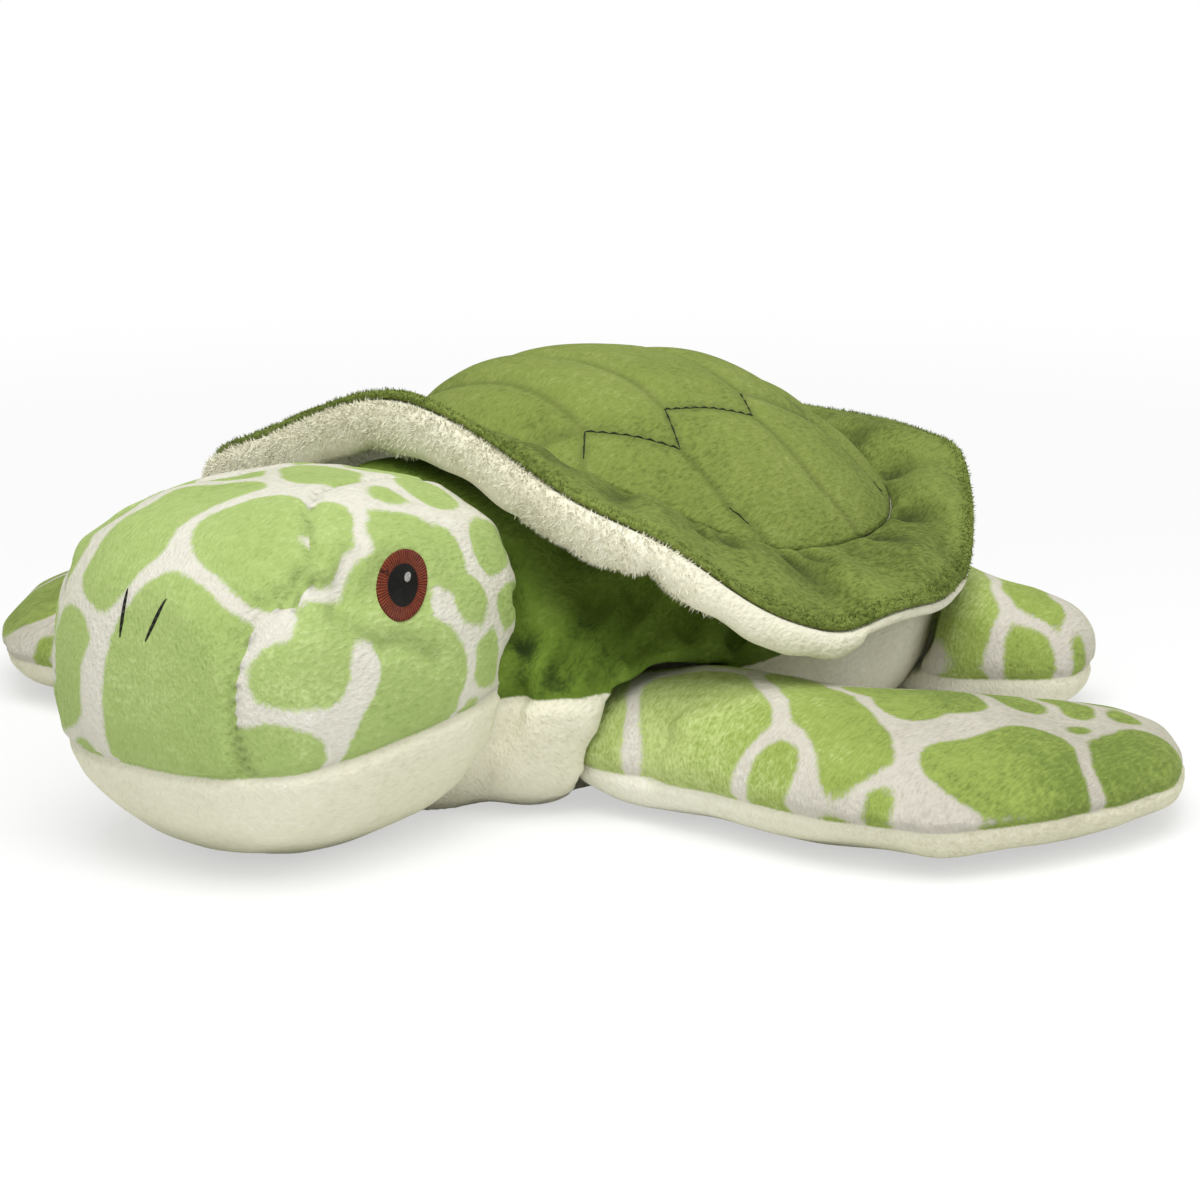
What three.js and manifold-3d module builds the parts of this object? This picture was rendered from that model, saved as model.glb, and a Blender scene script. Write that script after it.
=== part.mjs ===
// Stuffed sea turtle lying on its belly, built from sewn fabric panels over fibre filling.
// Millimetres, +Z up. The head looks along -Y, the turtle's left side lies towards +X,
// and the origin is the middle of the flat of the belly, where it rests on the table.
import * as THREE from 'three';
import { mergeVertices } from 'three/addons/utils/BufferGeometryUtils.js';
import Module from 'manifold-3d';

const wasm = await Module();
wasm.setup();

// Cloth and clearances
const clothThickness = 2;
const seamGap = 0.3;
const fillingGap = 0.3;
const carapaceClearance = 0.8;
const fillingLift = 1;
const jointGap = 1;
const restingCut = 0.5;
const cutOverrun = 20;

// Body: the stuffed trunk and its round neck end
const bodyLength = 212;
const bodyWidth = 136;
const bodyHeight = 62;
const bodySeamHeight = 33;
const bodySquareness = 3.2;
const neckRadius = 42;
const neckY = -83;

// Head, measured from the middle of the neck
const headWidth = 90;
const headLength = 111;
const headHeight = 88;
const headReach = 46;
const headWidestShare = 0.1;
const muzzleTaperShare = 0.02;
const muzzleDropShare = 0.02;
const chinTuckShare = 0.27;
const headSquareness = 3.2;
const headTurnLimitAngle = 12;
const chinSeamHeight = 33.5;
const chinSeamRise = 9;

// Head gusset, as shares: how far back from the nose along headLength, and how wide of headWidth
const gussetShares = [
  { along: 0, width: 0.62 },
  { along: 0.1, width: 0.68 },
  { along: 0.18, width: 0.79 },
  { along: 0.25, width: 0.75 },
  { along: 0.36, width: 0.48 },
  { along: 0.46, width: 0.32 },
  { along: 1, width: 0.3 },
];

// Eyes and nostrils, embroidered on the head cover
const embroideryThickness = 1.2;
const eyeWidth = 14.5;
const eyeHeight = 17.5;
const irisRing = 3;
const glintWidth = 2.6;
const glintHeight = 3.4;
const glintRise = 2.2;
const glintShift = 1.8;
const eyeBack = 4;
const eyeUp = 11;
const eyeYawAngle = 76;
const eyePitchAngle = 20;
const nostrilLength = 11;
const nostrilWidth = 1;
const nostrilSpacing = 11;
const nostrilForward = 30;
const nostrilUp = 9;
const nostrilSlantAngle = 22;
const nostrilPitchAngle = 56;

// Front flippers, measured from the middle of the shoulder
const frontFlipper = {
  shoulderX: 55,
  shoulderY: -54,
  length: 132,
  chord: 92,
  thickness: 38,
  lobeRadius: 25,
  bow: 22,
  seamHeight: 13,
};
const frontLeftSweepAngle = 36;
const frontRightSweepAngle = 21;
const frontSweepBackAngle = 40;
const frontSweepForwardAngle = -10;

// Hind flippers, measured from the middle of the hip
const hindFlipper = {
  shoulderX: 47,
  shoulderY: 72,
  length: 54,
  chord: 50,
  thickness: 46,
  lobeRadius: 18,
  bow: 5,
  seamHeight: 13,
};
const hindSweepAngle = 12;
const hindSweepBackAngle = 28;
const hindSweepForwardAngle = 0;

const lobeSquareness = 2.6;
const frontSweeps = [frontSweepForwardAngle, frontSweepBackAngle];
const hindSweeps = [hindSweepForwardAngle, hindSweepBackAngle];

// Tail
const tailLength = 34;
const tailWidth = 22;
const tailHeight = 15;

// Carapace: a stuffed, quilted dome with a gathered rim
const domeLength = 158;
const domeWidth = 128;
const domeCentreY = 10;
const domeSummitY = -24;
const carapaceRollAngle = 1;
const domeTop = 103;
const liningThickness = 2.2;
const rolledHemThickness = 11;
const quiltDepth = 1.6;
const quiltWidth = 5;
const gatherCount = 15;
const gatherDepth = 1.6;
const waveCount = 7;
const waveDepth = 2.5;

// Carapace outline, by angle from the front round to the back, the same on both sides:
// how far the rim's edge reaches, as a share of rimReach, and how high the edge and the
// dome's seam lie, as shares of domeTop.
const rimReach = 103;
const rimOutlineShares = [
  { angle: 0, reach: 0.96, edgeHeight: 0.99, seamHeight: 0.863 },
  { angle: 22, reach: 1.01, edgeHeight: 0.905, seamHeight: 0.824 },
  { angle: 38, reach: 1.1, edgeHeight: 0.74, seamHeight: 0.74 },
  { angle: 55, reach: 1.05, edgeHeight: 0.565, seamHeight: 0.645 },
  { angle: 73, reach: 0.95, edgeHeight: 0.465, seamHeight: 0.575 },
  { angle: 92, reach: 0.9, edgeHeight: 0.455, seamHeight: 0.55 },
  { angle: 126, reach: 0.875, edgeHeight: 0.51, seamHeight: 0.54 },
  { angle: 155, reach: 0.965, edgeHeight: 0.63, seamHeight: 0.58 },
  { angle: 180, reach: 1, edgeHeight: 0.68, seamHeight: 0.627 },
];

// Mesh fineness
const bodySides = 18;
const bodyRings = 10;
const headSides = 16;
const headRings = 10;
const flipperSides = 10;
const flipperRings = 9;
const rootSides = 12;
const rootRings = 4;
const fillingSides = 10;
const fillingRings = 6;
const eyeSides = 12;
const carapaceSides = 60;
const domeFillingSides = 30;

const degree = Math.PI / 180;
const bodyHalf = new THREE.Vector3(bodyWidth / 2, bodyLength / 2, (bodyHeight + restingCut) / 2);
const bodyCentre = new THREE.Vector3(0, 0, bodyHalf.z - restingCut);
const neckCentre = new THREE.Vector3(0, neckY, neckRadius - restingCut);

const cloth = (color, roughness) => new THREE.MeshStandardMaterial({ color, roughness, metalness: 0 });
const mossPlush = cloth(0x6b8a35, 0.95);
const forestPlush = cloth(0x4c6a22, 0.95);
const creamPlush = cloth(0xece8d2, 0.95);
const scalePrintPlush = cloth(0x9cc968, 0.95);
const fibre = cloth(0xf3f2ee, 1);
const brownThread = cloth(0x6e2f14, 0.5);
const blackThread = cloth(0x14120f, 0.5);
const whiteThread = cloth(0xf4f2ee, 0.5);

const turtle = new THREE.Group();

// Turns a geometry into a solid that can be cut and joined.
function solidOf(geometry) {
  const bare = geometry.clone();
  bare.deleteAttribute('normal');
  bare.deleteAttribute('uv');
  const merged = mergeVertices(bare);
  const corners = merged.index.array;
  const kept = [];
  for (let i = 0; i < corners.length; i += 3) {
    const [a, b, c] = [corners[i], corners[i + 1], corners[i + 2]];
    if (a !== b && b !== c && c !== a) {
      kept.push(a, b, c);
    }
  }
  const mesh = new wasm.Mesh({
    numProp: 3,
    vertProperties: new Float32Array(merged.attributes.position.array),
    triVerts: new Uint32Array(kept),
  });
  return new wasm.Manifold(mesh);
}

// Turns a finished solid back into a geometry.
function geometryOf(solid) {
  const mesh = solid.getMesh();
  const geometry = new THREE.BufferGeometry();
  geometry.setAttribute('position', new THREE.BufferAttribute(new Float32Array(mesh.vertProperties), 3));
  geometry.setIndex(new THREE.BufferAttribute(new Uint32Array(mesh.triVerts), 1));
  geometry.computeVertexNormals();
  return geometry;
}

// Drops the loose slivers that a cut can leave beside the piece itself.
function largestOf(solid) {
  const bodies = solid.decompose();
  return bodies.reduce((best, body) => (body.volume() > best.volume() ? body : best));
}

function addPiece(name, solid, material) {
  const mesh = new THREE.Mesh(geometryOf(solid), material);
  mesh.name = name;
  turtle.add(mesh);
}

// A block that holds everything between two heights, wider than the whole toy.
function slab(low, high) {
  const spread = 2 * (bodyLength + headLength + frontFlipper.length);
  const block = new THREE.BoxGeometry(spread, spread, high - low);
  block.translate(0, 0, (low + high) / 2);
  return solidOf(block);
}

const skyHigh = domeTop + cutOverrun;
const aboveTable = slab(0, skyHigh);

// A unit ball whose points are moved by a shape function; its poles lie on the Y axis.
function stuffedForm(sides, rings, shape) {
  return shapedBall(new THREE.SphereGeometry(1, sides, rings), shape);
}

// The same with its poles on the Z axis, for what turns about an upright line.
function turnedForm(sides, rings, shape) {
  return shapedBall(new THREE.SphereGeometry(1, sides, rings).rotateX(Math.PI / 2), shape);
}

function shapedBall(ball, shape) {
  ball.deleteAttribute('normal');
  ball.deleteAttribute('uv');
  const points = mergeVertices(ball);
  const place = points.attributes.position;
  const point = new THREE.Vector3();
  for (let i = 0; i < place.count; i += 1) {
    point.fromBufferAttribute(place, i);
    shape(point);
    place.setXYZ(i, point.x, point.y, point.z);
  }
  return solidOf(points);
}

// Swells a unit ball towards a box; two leaves it round.
function squared(p, squareness) {
  const x = Math.abs(p.x) ** squareness;
  const y = Math.abs(p.y) ** squareness;
  const z = Math.abs(p.z) ** squareness;
  p.divideScalar((x + y + z) ** (1 / squareness));
}

// Trunk: a squarish pillow, thinned all round by an inset.
function trunk(sides, rings, inset) {
  return stuffedForm(sides, rings, (p) => {
    squared(p, bodySquareness);
    p.set(p.x * (bodyHalf.x - inset), p.y * (bodyHalf.y - inset), p.z * (bodyHalf.z - inset));
    p.add(bodyCentre);
  });
}

function neckBall(sides, rings, inset) {
  return turnedForm(sides, rings, (p) => {
    p.multiplyScalar(neckRadius - inset);
    p.add(neckCentre);
  });
}

function bodyForm(sides, rings, inset) {
  const behindHead = trunk(sides, rings, inset).subtract(headSweep(inset + jointGap));
  const whole = behindHead.add(neckBall(sides, rings, inset));
  return whole.subtract(carapaceRoom(inset + carapaceClearance));
}

// Head: widest behind the eyes, tapering and dropping towards the muzzle.
const headHalf = new THREE.Vector3(headWidth / 2, headLength / 2, (headHeight + restingCut) / 2);
const headCentre = new THREE.Vector3(0, neckY - headReach, headHalf.z - restingCut);

function headForm(sides, rings, inset) {
  return stuffedForm(sides, rings, (p) => {
    squared(p, headSquareness);
    const forward = Math.max(0, headWidestShare - p.y) / (1 + headWidestShare);
    const narrow = 1 - muzzleTaperShare * forward ** 2;
    const drop = p.z > 0 ? 1 - muzzleDropShare * forward ** 2 : 1;
    const tuck = p.z < 0 ? 1 - chinTuckShare * p.z ** 2 : 1;
    p.x *= (headHalf.x - inset) * narrow * tuck;
    p.y *= (headHalf.y - inset) * tuck;
    p.z *= (headHalf.z - inset) * drop;
    p.add(headCentre);
  });
}

// Room that the head takes in front of the trunk as it turns at the neck.
function headSweep(gap) {
  const atNeck = headForm(headSides, headRings, -gap).translate([0, -neckY, 0]);
  const turned = [-headTurnLimitAngle, headTurnLimitAngle].map((angle) => atNeck.rotate([0, 0, angle]));
  return atNeck.add(turned[0]).add(turned[1]).translate([0, neckY, 0]);
}

// Paddle shares from the root to the tip: how far along, how wide, how thick, how far bowed.
const paddleShares = [
  { along: 0, chord: 0.6, thickness: 1, bow: 0 },
  { along: 0.2, chord: 0.66, thickness: 0.97, bow: 0.25 },
  { along: 0.4, chord: 0.9, thickness: 0.88, bow: 0.8 },
  { along: 0.6, chord: 1, thickness: 0.8, bow: 1 },
  { along: 0.8, chord: 0.93, thickness: 0.77, bow: 0.75 },
  { along: 0.93, chord: 0.88, thickness: 0.72, bow: 0.35 },
  { along: 1, chord: 0.72, thickness: 0.64, bow: 0.1 },
];

// Roundness of a paddle's ends: a low value is blunt, one is an oval
const paddleBluntness = 0.5;

// Value of one column of a table at a place between its rows, eased from row to row.
function between(table, key, column, place) {
  const last = table.length - 1;
  let row = 0;
  while (row < last - 1 && place > table[row + 1][key]) {
    row += 1;
  }
  const span = table[row + 1][key] - table[row][key];
  const share = THREE.MathUtils.clamp((place - table[row][key]) / span, 0, 1);
  const eased = share * share * (3 - 2 * share);
  return THREE.MathUtils.lerp(table[row][column], table[row + 1][column], eased);
}

// Flipper laid along +X from its shoulder, its front edge towards -Y, resting on the table.
function flipperForm(size, sides, rings, inset) {
  const lobe = size.lobeRadius;
  return stuffedForm(sides, rings, (p) => {
    const whole = size.length + lobe;
    const x = inset - lobe + (p.y + 1) * (whole / 2 - inset);
    const place = (x + lobe) / whole;
    const round = Math.sqrt(Math.max(0, 1 - p.y * p.y));
    const across = round > 0 ? -p.x / round : 0;
    const upward = round > 0 ? p.z / round : 0;
    const blunt = round ** paddleBluntness;
    const halfChord = size.chord * between(paddleShares, 'along', 'chord', place) / 2;
    const halfThickness = size.thickness * between(paddleShares, 'along', 'thickness', place) / 2;
    const bow = size.bow * between(paddleShares, 'along', 'bow', place);
    const y = across * blunt * (halfChord - inset) - bow;
    p.set(x, y, halfThickness - restingCut + upward * blunt * (halfThickness - inset));
  });
}

// Round root of a flipper about its shoulder or hip, swollen by a gap for its socket.
function rootLobe(size, gap, x) {
  const radius = size.lobeRadius + gap;
  const middle = new THREE.Vector3(x, size.shoulderY, size.thickness / 2 - restingCut);
  return turnedForm(rootSides, rootRings, (p) => {
    const fromAxis = Math.hypot(p.x, p.y) ** lobeSquareness;
    const fromMiddle = Math.abs(p.z) ** lobeSquareness;
    p.divideScalar((fromAxis + fromMiddle) ** (1 / lobeSquareness));
    p.set(p.x * radius, p.y * radius, p.z * (size.thickness / 2 + gap));
    p.add(middle);
  });
}

// Cover of a stuffed form: its outside less the space inside the cloth.
function coverOf(form, sides, rings) {
  return form(sides, rings, 0).subtract(form(fillingSides, fillingRings, clothThickness));
}

// Filling of a stuffed form, a small gap inside its cover.
function fillingOf(form) {
  return form(fillingSides, fillingRings, clothThickness + fillingGap);
}

// Filling of a paddle: the space inside its cover, shrunk about its middle by the gap.
function paddleFillingOf(form) {
  const inside = form(fillingSides, fillingRings, clothThickness);
  const box = inside.boundingBox();
  const middle = box.min.map((low, axis) => (low + box.max[axis]) / 2);
  const factor = box.min.map((low, axis) => 1 - 2 * fillingGap / (box.max[axis] - low));
  return inside.translate(middle.map((value) => -value)).scale(factor).translate(middle);
}

// Room that the trunk takes beside a flipper's root as the flipper sweeps through its range.
function trunkSweep(size, side, angles) {
  const lobe = rootLobe(size, 0, size.shoulderX);
  const own = trunk(bodySides, bodyRings, -jointGap).subtract(lobe);
  const inOwnFrame = own.translate([-size.shoulderX, -size.shoulderY, 0]);
  const turned = angles.map((angle) => inOwnFrame.rotate([0, 0, -angle]));
  return turned.reduce((all, one) => all.add(one));
}

// Each flipper is sewn from a printed top panel and a cream under panel round its filling.
function addFlipper(name, size, side, sweep) {
  const room = trunkSweep(size, side, size === frontFlipper ? frontSweeps : hindSweeps);
  const form = (sides, rings, inset) => flipperForm(size, sides, rings, inset);
  const settled = (solid) => placed(largestOf(solid.subtract(room)), size, side, sweep);
  const cover = settled(coverOf(form, flipperSides, flipperRings));
  const top = cover.intersect(slab(size.seamHeight + seamGap / 2, skyHigh));
  const underside = cover.intersect(slab(0, size.seamHeight - seamGap / 2));
  addPiece(`${name}_top`, largestOf(top), scalePrintPlush);
  addPiece(`${name}_underside`, largestOf(underside), creamPlush);
  addPiece(`${name}_filling`, settled(paddleFillingOf(form)), fibre);
}

// Moves a flipper from its own frame to its shoulder; the right side is a mirror image.
function placed(solid, size, side, sweep) {
  const turned = solid.rotate([0, 0, sweep]);
  const mirrored = side < 0 ? turned.mirror([1, 0, 0]) : turned;
  return mirrored.translate([side * size.shoulderX, size.shoulderY, 0]);
}

// Sockets that the roots of the flippers and the head sit in
function flipperSocket(size, side) {
  return rootLobe(size, jointGap, side * size.shoulderX);
}

function cutForFlippers(solid) {
  let cut = solid;
  for (const size of [frontFlipper, hindFlipper]) {
    for (const side of [1, -1]) {
      cut = cut.subtract(flipperSocket(size, side));
    }
  }
  return cut;
}

function addBody() {
  const cover = cutForFlippers(coverOf(bodyForm, bodySides, bodyRings));
  const filling = cutForFlippers(fillingOf(bodyForm));
  addPiece('back_cover', cover.intersect(slab(bodySeamHeight + seamGap / 2, skyHigh)), forestPlush);
  addPiece('belly_cover', cover.intersect(slab(0, bodySeamHeight - seamGap / 2)), creamPlush);
  addPiece('body_filling', filling, fibre);
}

// Head: a gusset runs from the nose over the crown between two cheeks, above a cream chin.
function gussetWedge(widening) {
  const nose = headCentre.y - headLength / 2;
  const reach = 2 * headLength;
  const left = gussetShares.map((row) => (
    new THREE.Vector2(row.width * headWidth / 2 + widening, nose + row.along * headLength)
  ));
  left.unshift(new THREE.Vector2(left[0].x, nose - reach));
  left.push(new THREE.Vector2(left.at(-1).x, nose + reach));
  const right = left.map((point) => new THREE.Vector2(-point.x, point.y)).reverse();
  const outline = new THREE.Shape([...left, ...right]);
  const wedge = new THREE.ExtrudeGeometry(outline, { depth: skyHigh, bevelEnabled: false });
  return solidOf(wedge);
}

// Everything above the seam between the printed head and the chin, which rises to the back.
function aboveChinSeam(shift) {
  const spread = 2 * headLength;
  const block = new THREE.BoxGeometry(spread, spread, skyHigh);
  block.translate(0, 0, skyHigh / 2 + shift);
  block.rotateX(Math.atan2(chinSeamRise, headLength));
  block.translate(0, headCentre.y, chinSeamHeight);
  return solidOf(block);
}

function besideGusset(side) {
  const block = new THREE.BoxGeometry(headLength, 3 * headLength, 2 * skyHigh);
  block.translate(side * headLength / 2, headCentre.y, 0);
  return solidOf(block);
}

function addHead() {
  const neckSocket = neckBall(bodySides, bodyRings, -jointGap);
  const cover = coverOf(headForm, headSides, headRings).intersect(aboveTable).subtract(neckSocket);
  const filling = fillingOf(headForm).subtract(neckSocket);
  const printed = cover.intersect(aboveChinSeam(seamGap / 2));
  const cheeks = printed.subtract(gussetWedge(seamGap / 2));
  addPiece('head_gusset', printed.intersect(gussetWedge(-seamGap / 2)), scalePrintPlush);
  addPiece('left_cheek', cheeks.intersect(besideGusset(1)), scalePrintPlush);
  addPiece('right_cheek', cheeks.intersect(besideGusset(-1)), scalePrintPlush);
  addPiece('chin', cover.subtract(aboveChinSeam(-seamGap / 2)), creamPlush);
  addPiece('head_filling', filling, fibre);
}

// Embroidery lies on the head cover as a thin layer, cut out by a prism through the layer.
function embroideryLayer() {
  const outside = headForm(headSides, headRings, -embroideryThickness - seamGap);
  return outside.subtract(headForm(headSides, headRings, -seamGap));
}

// An oval prism that leaves the head sideways through the middle of an eye.
function eyePrism(side, width, height, shift, rise) {
  const oval = new THREE.CylinderGeometry(1, 1, headWidth, eyeSides);
  oval.rotateX(Math.PI / 2);
  oval.scale(width / 2, height / 2, 1);
  oval.translate(shift, rise, headWidth / 2);
  oval.rotateX(-eyePitchAngle * degree);
  oval.rotateY(eyeYawAngle * degree);
  oval.rotateX(Math.PI / 2);
  oval.translate(0, headCentre.y + eyeBack, headCentre.z + eyeUp);
  const prism = solidOf(oval);
  return side < 0 ? prism.mirror([1, 0, 0]) : prism;
}

function addEye(name, side, layer) {
  const pupilWidth = eyeWidth - 2 * irisRing;
  const pupilHeight = eyeHeight - 2 * irisRing;
  const wholeEye = layer.intersect(eyePrism(side, eyeWidth, eyeHeight, 0, 0));
  const pupilHole = eyePrism(side, pupilWidth + seamGap, pupilHeight + seamGap, 0, 0);
  const glintHole = eyePrism(side, glintWidth + seamGap, glintHeight + seamGap, glintShift, glintRise);
  addPiece(`${name}_iris`, wholeEye.subtract(pupilHole), brownThread);
  const pupil = layer.intersect(eyePrism(side, pupilWidth, pupilHeight, 0, 0));
  const glint = layer.intersect(eyePrism(side, glintWidth, glintHeight, glintShift, glintRise));
  addPiece(`${name}_pupil`, pupil.subtract(glintHole), blackThread);
  addPiece(`${name}_glint`, glint, whiteThread);
}

function addNostril(name, side, layer) {
  const bar = new THREE.BoxGeometry(nostrilWidth, nostrilLength, headLength);
  bar.translate(0, 0, headLength / 2);
  bar.rotateZ(-side * nostrilSlantAngle * degree);
  bar.rotateX(nostrilPitchAngle * degree);
  bar.translate(side * nostrilSpacing / 2, headCentre.y - nostrilForward, headCentre.z + nostrilUp);
  addPiece(name, layer.intersect(solidOf(bar)), blackThread);
}

function addFace() {
  const layer = embroideryLayer();
  addEye('left_eye', 1, layer);
  addEye('right_eye', -1, layer);
  addNostril('left_nostril', 1, layer);
  addNostril('right_nostril', -1, layer);
}

// Closed skin through a list of loops of as many points each, split along the shorter
// diagonals so that parallel skins have parallel faces.
function skin(loops, closedRound) {
  const count = loops[0].length;
  const points = loops.flat();
  const positions = points.flatMap((p) => [p.x, p.y, p.z]);
  const faces = [];
  const strips = closedRound ? loops.length : loops.length - 1;
  for (let i = 0; i < strips; i += 1) {
    const here = i * count;
    const next = ((i + 1) % loops.length) * count;
    for (let j = 0; j < count; j += 1) {
      const k = (j + 1) % count;
      const [a, b, c, d] = [here + j, next + j, next + k, here + k];
      if (points[a].distanceTo(points[c]) < points[b].distanceTo(points[d])) {
        faces.push(a, b, c, a, c, d);
      } else {
        faces.push(a, b, d, d, b, c);
      }
    }
  }
  const geometry = new THREE.BufferGeometry();
  geometry.setAttribute('position', new THREE.Float32BufferAttribute(positions, 3));
  geometry.setIndex(faces);
  return solidOf(geometry);
}

// Smooth closed curve through both sides of the carapace outline.
function outlineCurve(pointOf) {
  const left = rimOutlineShares.map((row) => pointOf(row, 1));
  const right = rimOutlineShares.slice(1, -1).reverse().map((row) => pointOf(row, -1));
  return new THREE.CatmullRomCurve3([...left, ...right], true);
}

// Carries a place on the carapace from level to its slight roll to the left.
function rolled(x, y, z) {
  const pivot = new THREE.Vector3(0, y, bodyHeight);
  const place = new THREE.Vector3(x, y, z).sub(pivot);
  place.applyAxisAngle(new THREE.Vector3(0, 1, 0), carapaceRollAngle * degree);
  return place.add(pivot);
}

const rimEdge = outlineCurve((row, side) => {
  const turn = row.angle * degree;
  const reach = row.reach * rimReach;
  const y = domeCentreY - Math.cos(turn) * reach;
  return rolled(side * Math.sin(turn) * reach, y, row.edgeHeight * domeTop);
});

const domeSeam = outlineCurve((row, side) => {
  const turn = row.angle * degree;
  const reach = 1 / Math.hypot(Math.sin(turn) * 2 / domeWidth, Math.cos(turn) * 2 / domeLength);
  const y = domeCentreY - Math.cos(turn) * reach;
  return rolled(side * Math.sin(turn) * reach, y, row.seamHeight * domeTop);
});

const domeSummit = new THREE.Vector3(0, domeSummitY, domeTop);

// Sewn lines between the scutes of one side, as shares of the dome's half width and half
// length from its middle: the zigzag beside the middle row, the lines from it out to the
// seam, and the lines across the row.
const scuteLineShares = [
  [[0.31, -0.95], [0.436, -0.742], [0.65, -0.467], [0.506, -0.394], [0.602, -0.015]],
  [[0.602, -0.015], [0.469, 0.063], [0.516, 0.405], [0.375, 0.481], [0.31, 0.95]],
  [[0.436, -0.742], [0.53, -0.85]],
  [[0.65, -0.467], [0.84, -0.405], [0.95, -0.3]],
  [[0.602, -0.015], [0.84, 0.08], [0.97, 0.2]],
  [[0.516, 0.405], [0.72, 0.58], [0.77, 0.64]],
  [[0.436, -0.742], [0, -0.7]],
  [[0.506, -0.394], [0, -0.35]],
  [[0.469, 0.063], [0, 0.1]],
  [[0.375, 0.481], [0, 0.52]],
];

function onDomePlan([across, along]) {
  return new THREE.Vector3(across * domeWidth / 2, domeCentreY + along * domeLength / 2, 0);
}

const scuteLines = scuteLineShares.flatMap((line) => {
  const ends = line.map(onDomePlan);
  return ends.slice(1).map((end, i) => new THREE.Line3(ends[i], end));
});

// Distance in plan from a place to the nearest sewn line.
function scuteLineDistance(x, y) {
  const place = new THREE.Vector3(Math.abs(x), y, 0);
  const nearest = new THREE.Vector3();
  const gaps = scuteLines.map((line) => line.closestPointToPoint(place, true, nearest).distanceTo(place));
  return Math.min(...gaps);
}

function quiltChannel(x, y) {
  const near = scuteLineDistance(x, y) / quiltWidth;
  return quiltDepth * Math.exp(-near * near);
}

// Height of the lining's upper face inside the dome's seam, from the back to the seam.
function liningHeight(seam, share) {
  const middle = bodyHeight + fillingGap + liningThickness;
  const atSeam = seam.z - clothThickness - seamGap;
  return THREE.MathUtils.lerp(middle, atSeam, share * share);
}

// Dome profile shares: how far out from the summit, and how high above the seam.
const domeRingShares = [0, 0.12, 0.24, 0.36, 0.47, 0.58, 0.68, 0.78, 0.86, 0.93, 0.98, 1];
const domeFullness = 2.4;
const domeShoulder = 0.9;

function loopAt(sides, pointOf) {
  const loop = [];
  for (let i = 0; i < sides; i += 1) {
    loop.push(pointOf(i / sides));
  }
  return loop;
}

// Stuffed lens of the carapace, thinned all round by an inset.
function domeLens(sides, ringShares, inset, channels, drop) {
  const top = ringShares.map((share) => loopAt(sides, (turn) => {
    const seam = domeSeam.getPoint(turn);
    const reach = seam.clone().sub(domeSummit).setZ(0);
    const inward = (reach.length() - seamGap - inset) / reach.length();
    const x = domeSummit.x + reach.x * share * inward;
    const y = domeSummit.y + reach.y * share * inward;
    const rise = (1 - share ** domeFullness) ** domeShoulder;
    const channel = channels ? quiltChannel(x, y) * (1 - share ** domeFullness) : 0;
    return new THREE.Vector3(x, y, seam.z + rise * (domeTop - seam.z) - inset * rise - channel);
  }));
  const bottomShares = [1, 2 / 3, 1 / 3, 0];
  const bottom = bottomShares.map((share) => loopAt(sides, (turn) => {
    const seam = domeSeam.getPoint(turn);
    const reach = seam.clone().sub(domeSummit).setZ(0);
    const inward = (reach.length() - seamGap - inset) / reach.length();
    const x = domeSummit.x + reach.x * share * inward;
    const y = domeSummit.y + reach.y * share * inward;
    return new THREE.Vector3(x, y, liningHeight(seam, share) + fillingGap - drop);
  }));
  return skin([...top, ...bottom], false);
}

// Place on the green upper face of the rim, from the dome's seam out to the edge.
function rimPoint(turn, share) {
  const seam = domeSeam.getPoint(turn);
  const edge = rimEdge.getPoint(turn);
  const place = seam.lerp(edge, share);
  const angle = 2 * Math.PI * turn;
  const swell = Math.sin(Math.PI * share) * clothThickness;
  const gathers = gatherDepth * Math.cos(gatherCount * angle) * Math.sin(Math.PI * share);
  const waves = waveDepth * Math.cos(waveCount * angle) * share * share;
  place.z += swell + gathers + waves;
  return place;
}

const rimShares = [0, 0.3, 0.6, 0.85, 1];

function addRim() {
  const upper = rimShares.map((share) => loopAt(carapaceSides, (turn) => rimPoint(turn, share)));
  const lower = upper.map((loop) => loop.map((p) => p.clone().setZ(p.z - clothThickness))).reverse();
  addPiece('carapace_rim', skin([...upper, ...lower], true), mossPlush);
}

// Thickness of the cream lining: a rolled hem in front that thins to plain cloth behind.
function liningDepth(turn, share) {
  const front = Math.max(0, Math.cos(2 * Math.PI * turn)) ** (1 / 2);
  const roll = Math.sin(Math.PI * share ** 2 / 2);
  return liningThickness + (rolledHemThickness - liningThickness) * front * roll;
}

// Loops over the lining's upper face, from under the summit out to the rim's edge.
function liningLoops(sides, innerShares, outerShares) {
  const under = clothThickness + seamGap;
  const inner = innerShares.map((share) => loopAt(sides, (turn) => {
    const seam = domeSeam.getPoint(turn);
    const place = domeSummit.clone().lerp(seam, share);
    return place.setZ(liningHeight(seam, share));
  }));
  const outer = outerShares.map((share) => loopAt(sides, (turn) => {
    const place = rimPoint(turn, share);
    return place.setZ(place.z - under);
  }));
  return [...inner, ...outer];
}

// The lining's lower face below its upper loops, lowered further by a drop.
function liningUnderside(loops, innerCount, outerShares, drop) {
  return loops.map((loop, row) => loop.map((p, i) => {
    const share = row < innerCount ? 0 : outerShares[row - innerCount];
    return p.clone().setZ(p.z - liningDepth(i / loop.length, share) - drop);
  }));
}

const liningInnerShares = [0, 1 / 3, 2 / 3];

function addLining() {
  const upper = liningLoops(carapaceSides, liningInnerShares, rimShares);
  const lower = liningUnderside(upper, liningInnerShares.length, rimShares, 0).reverse();
  addPiece('carapace_lining', skin([...upper, ...lower], false), creamPlush);
}

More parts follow.
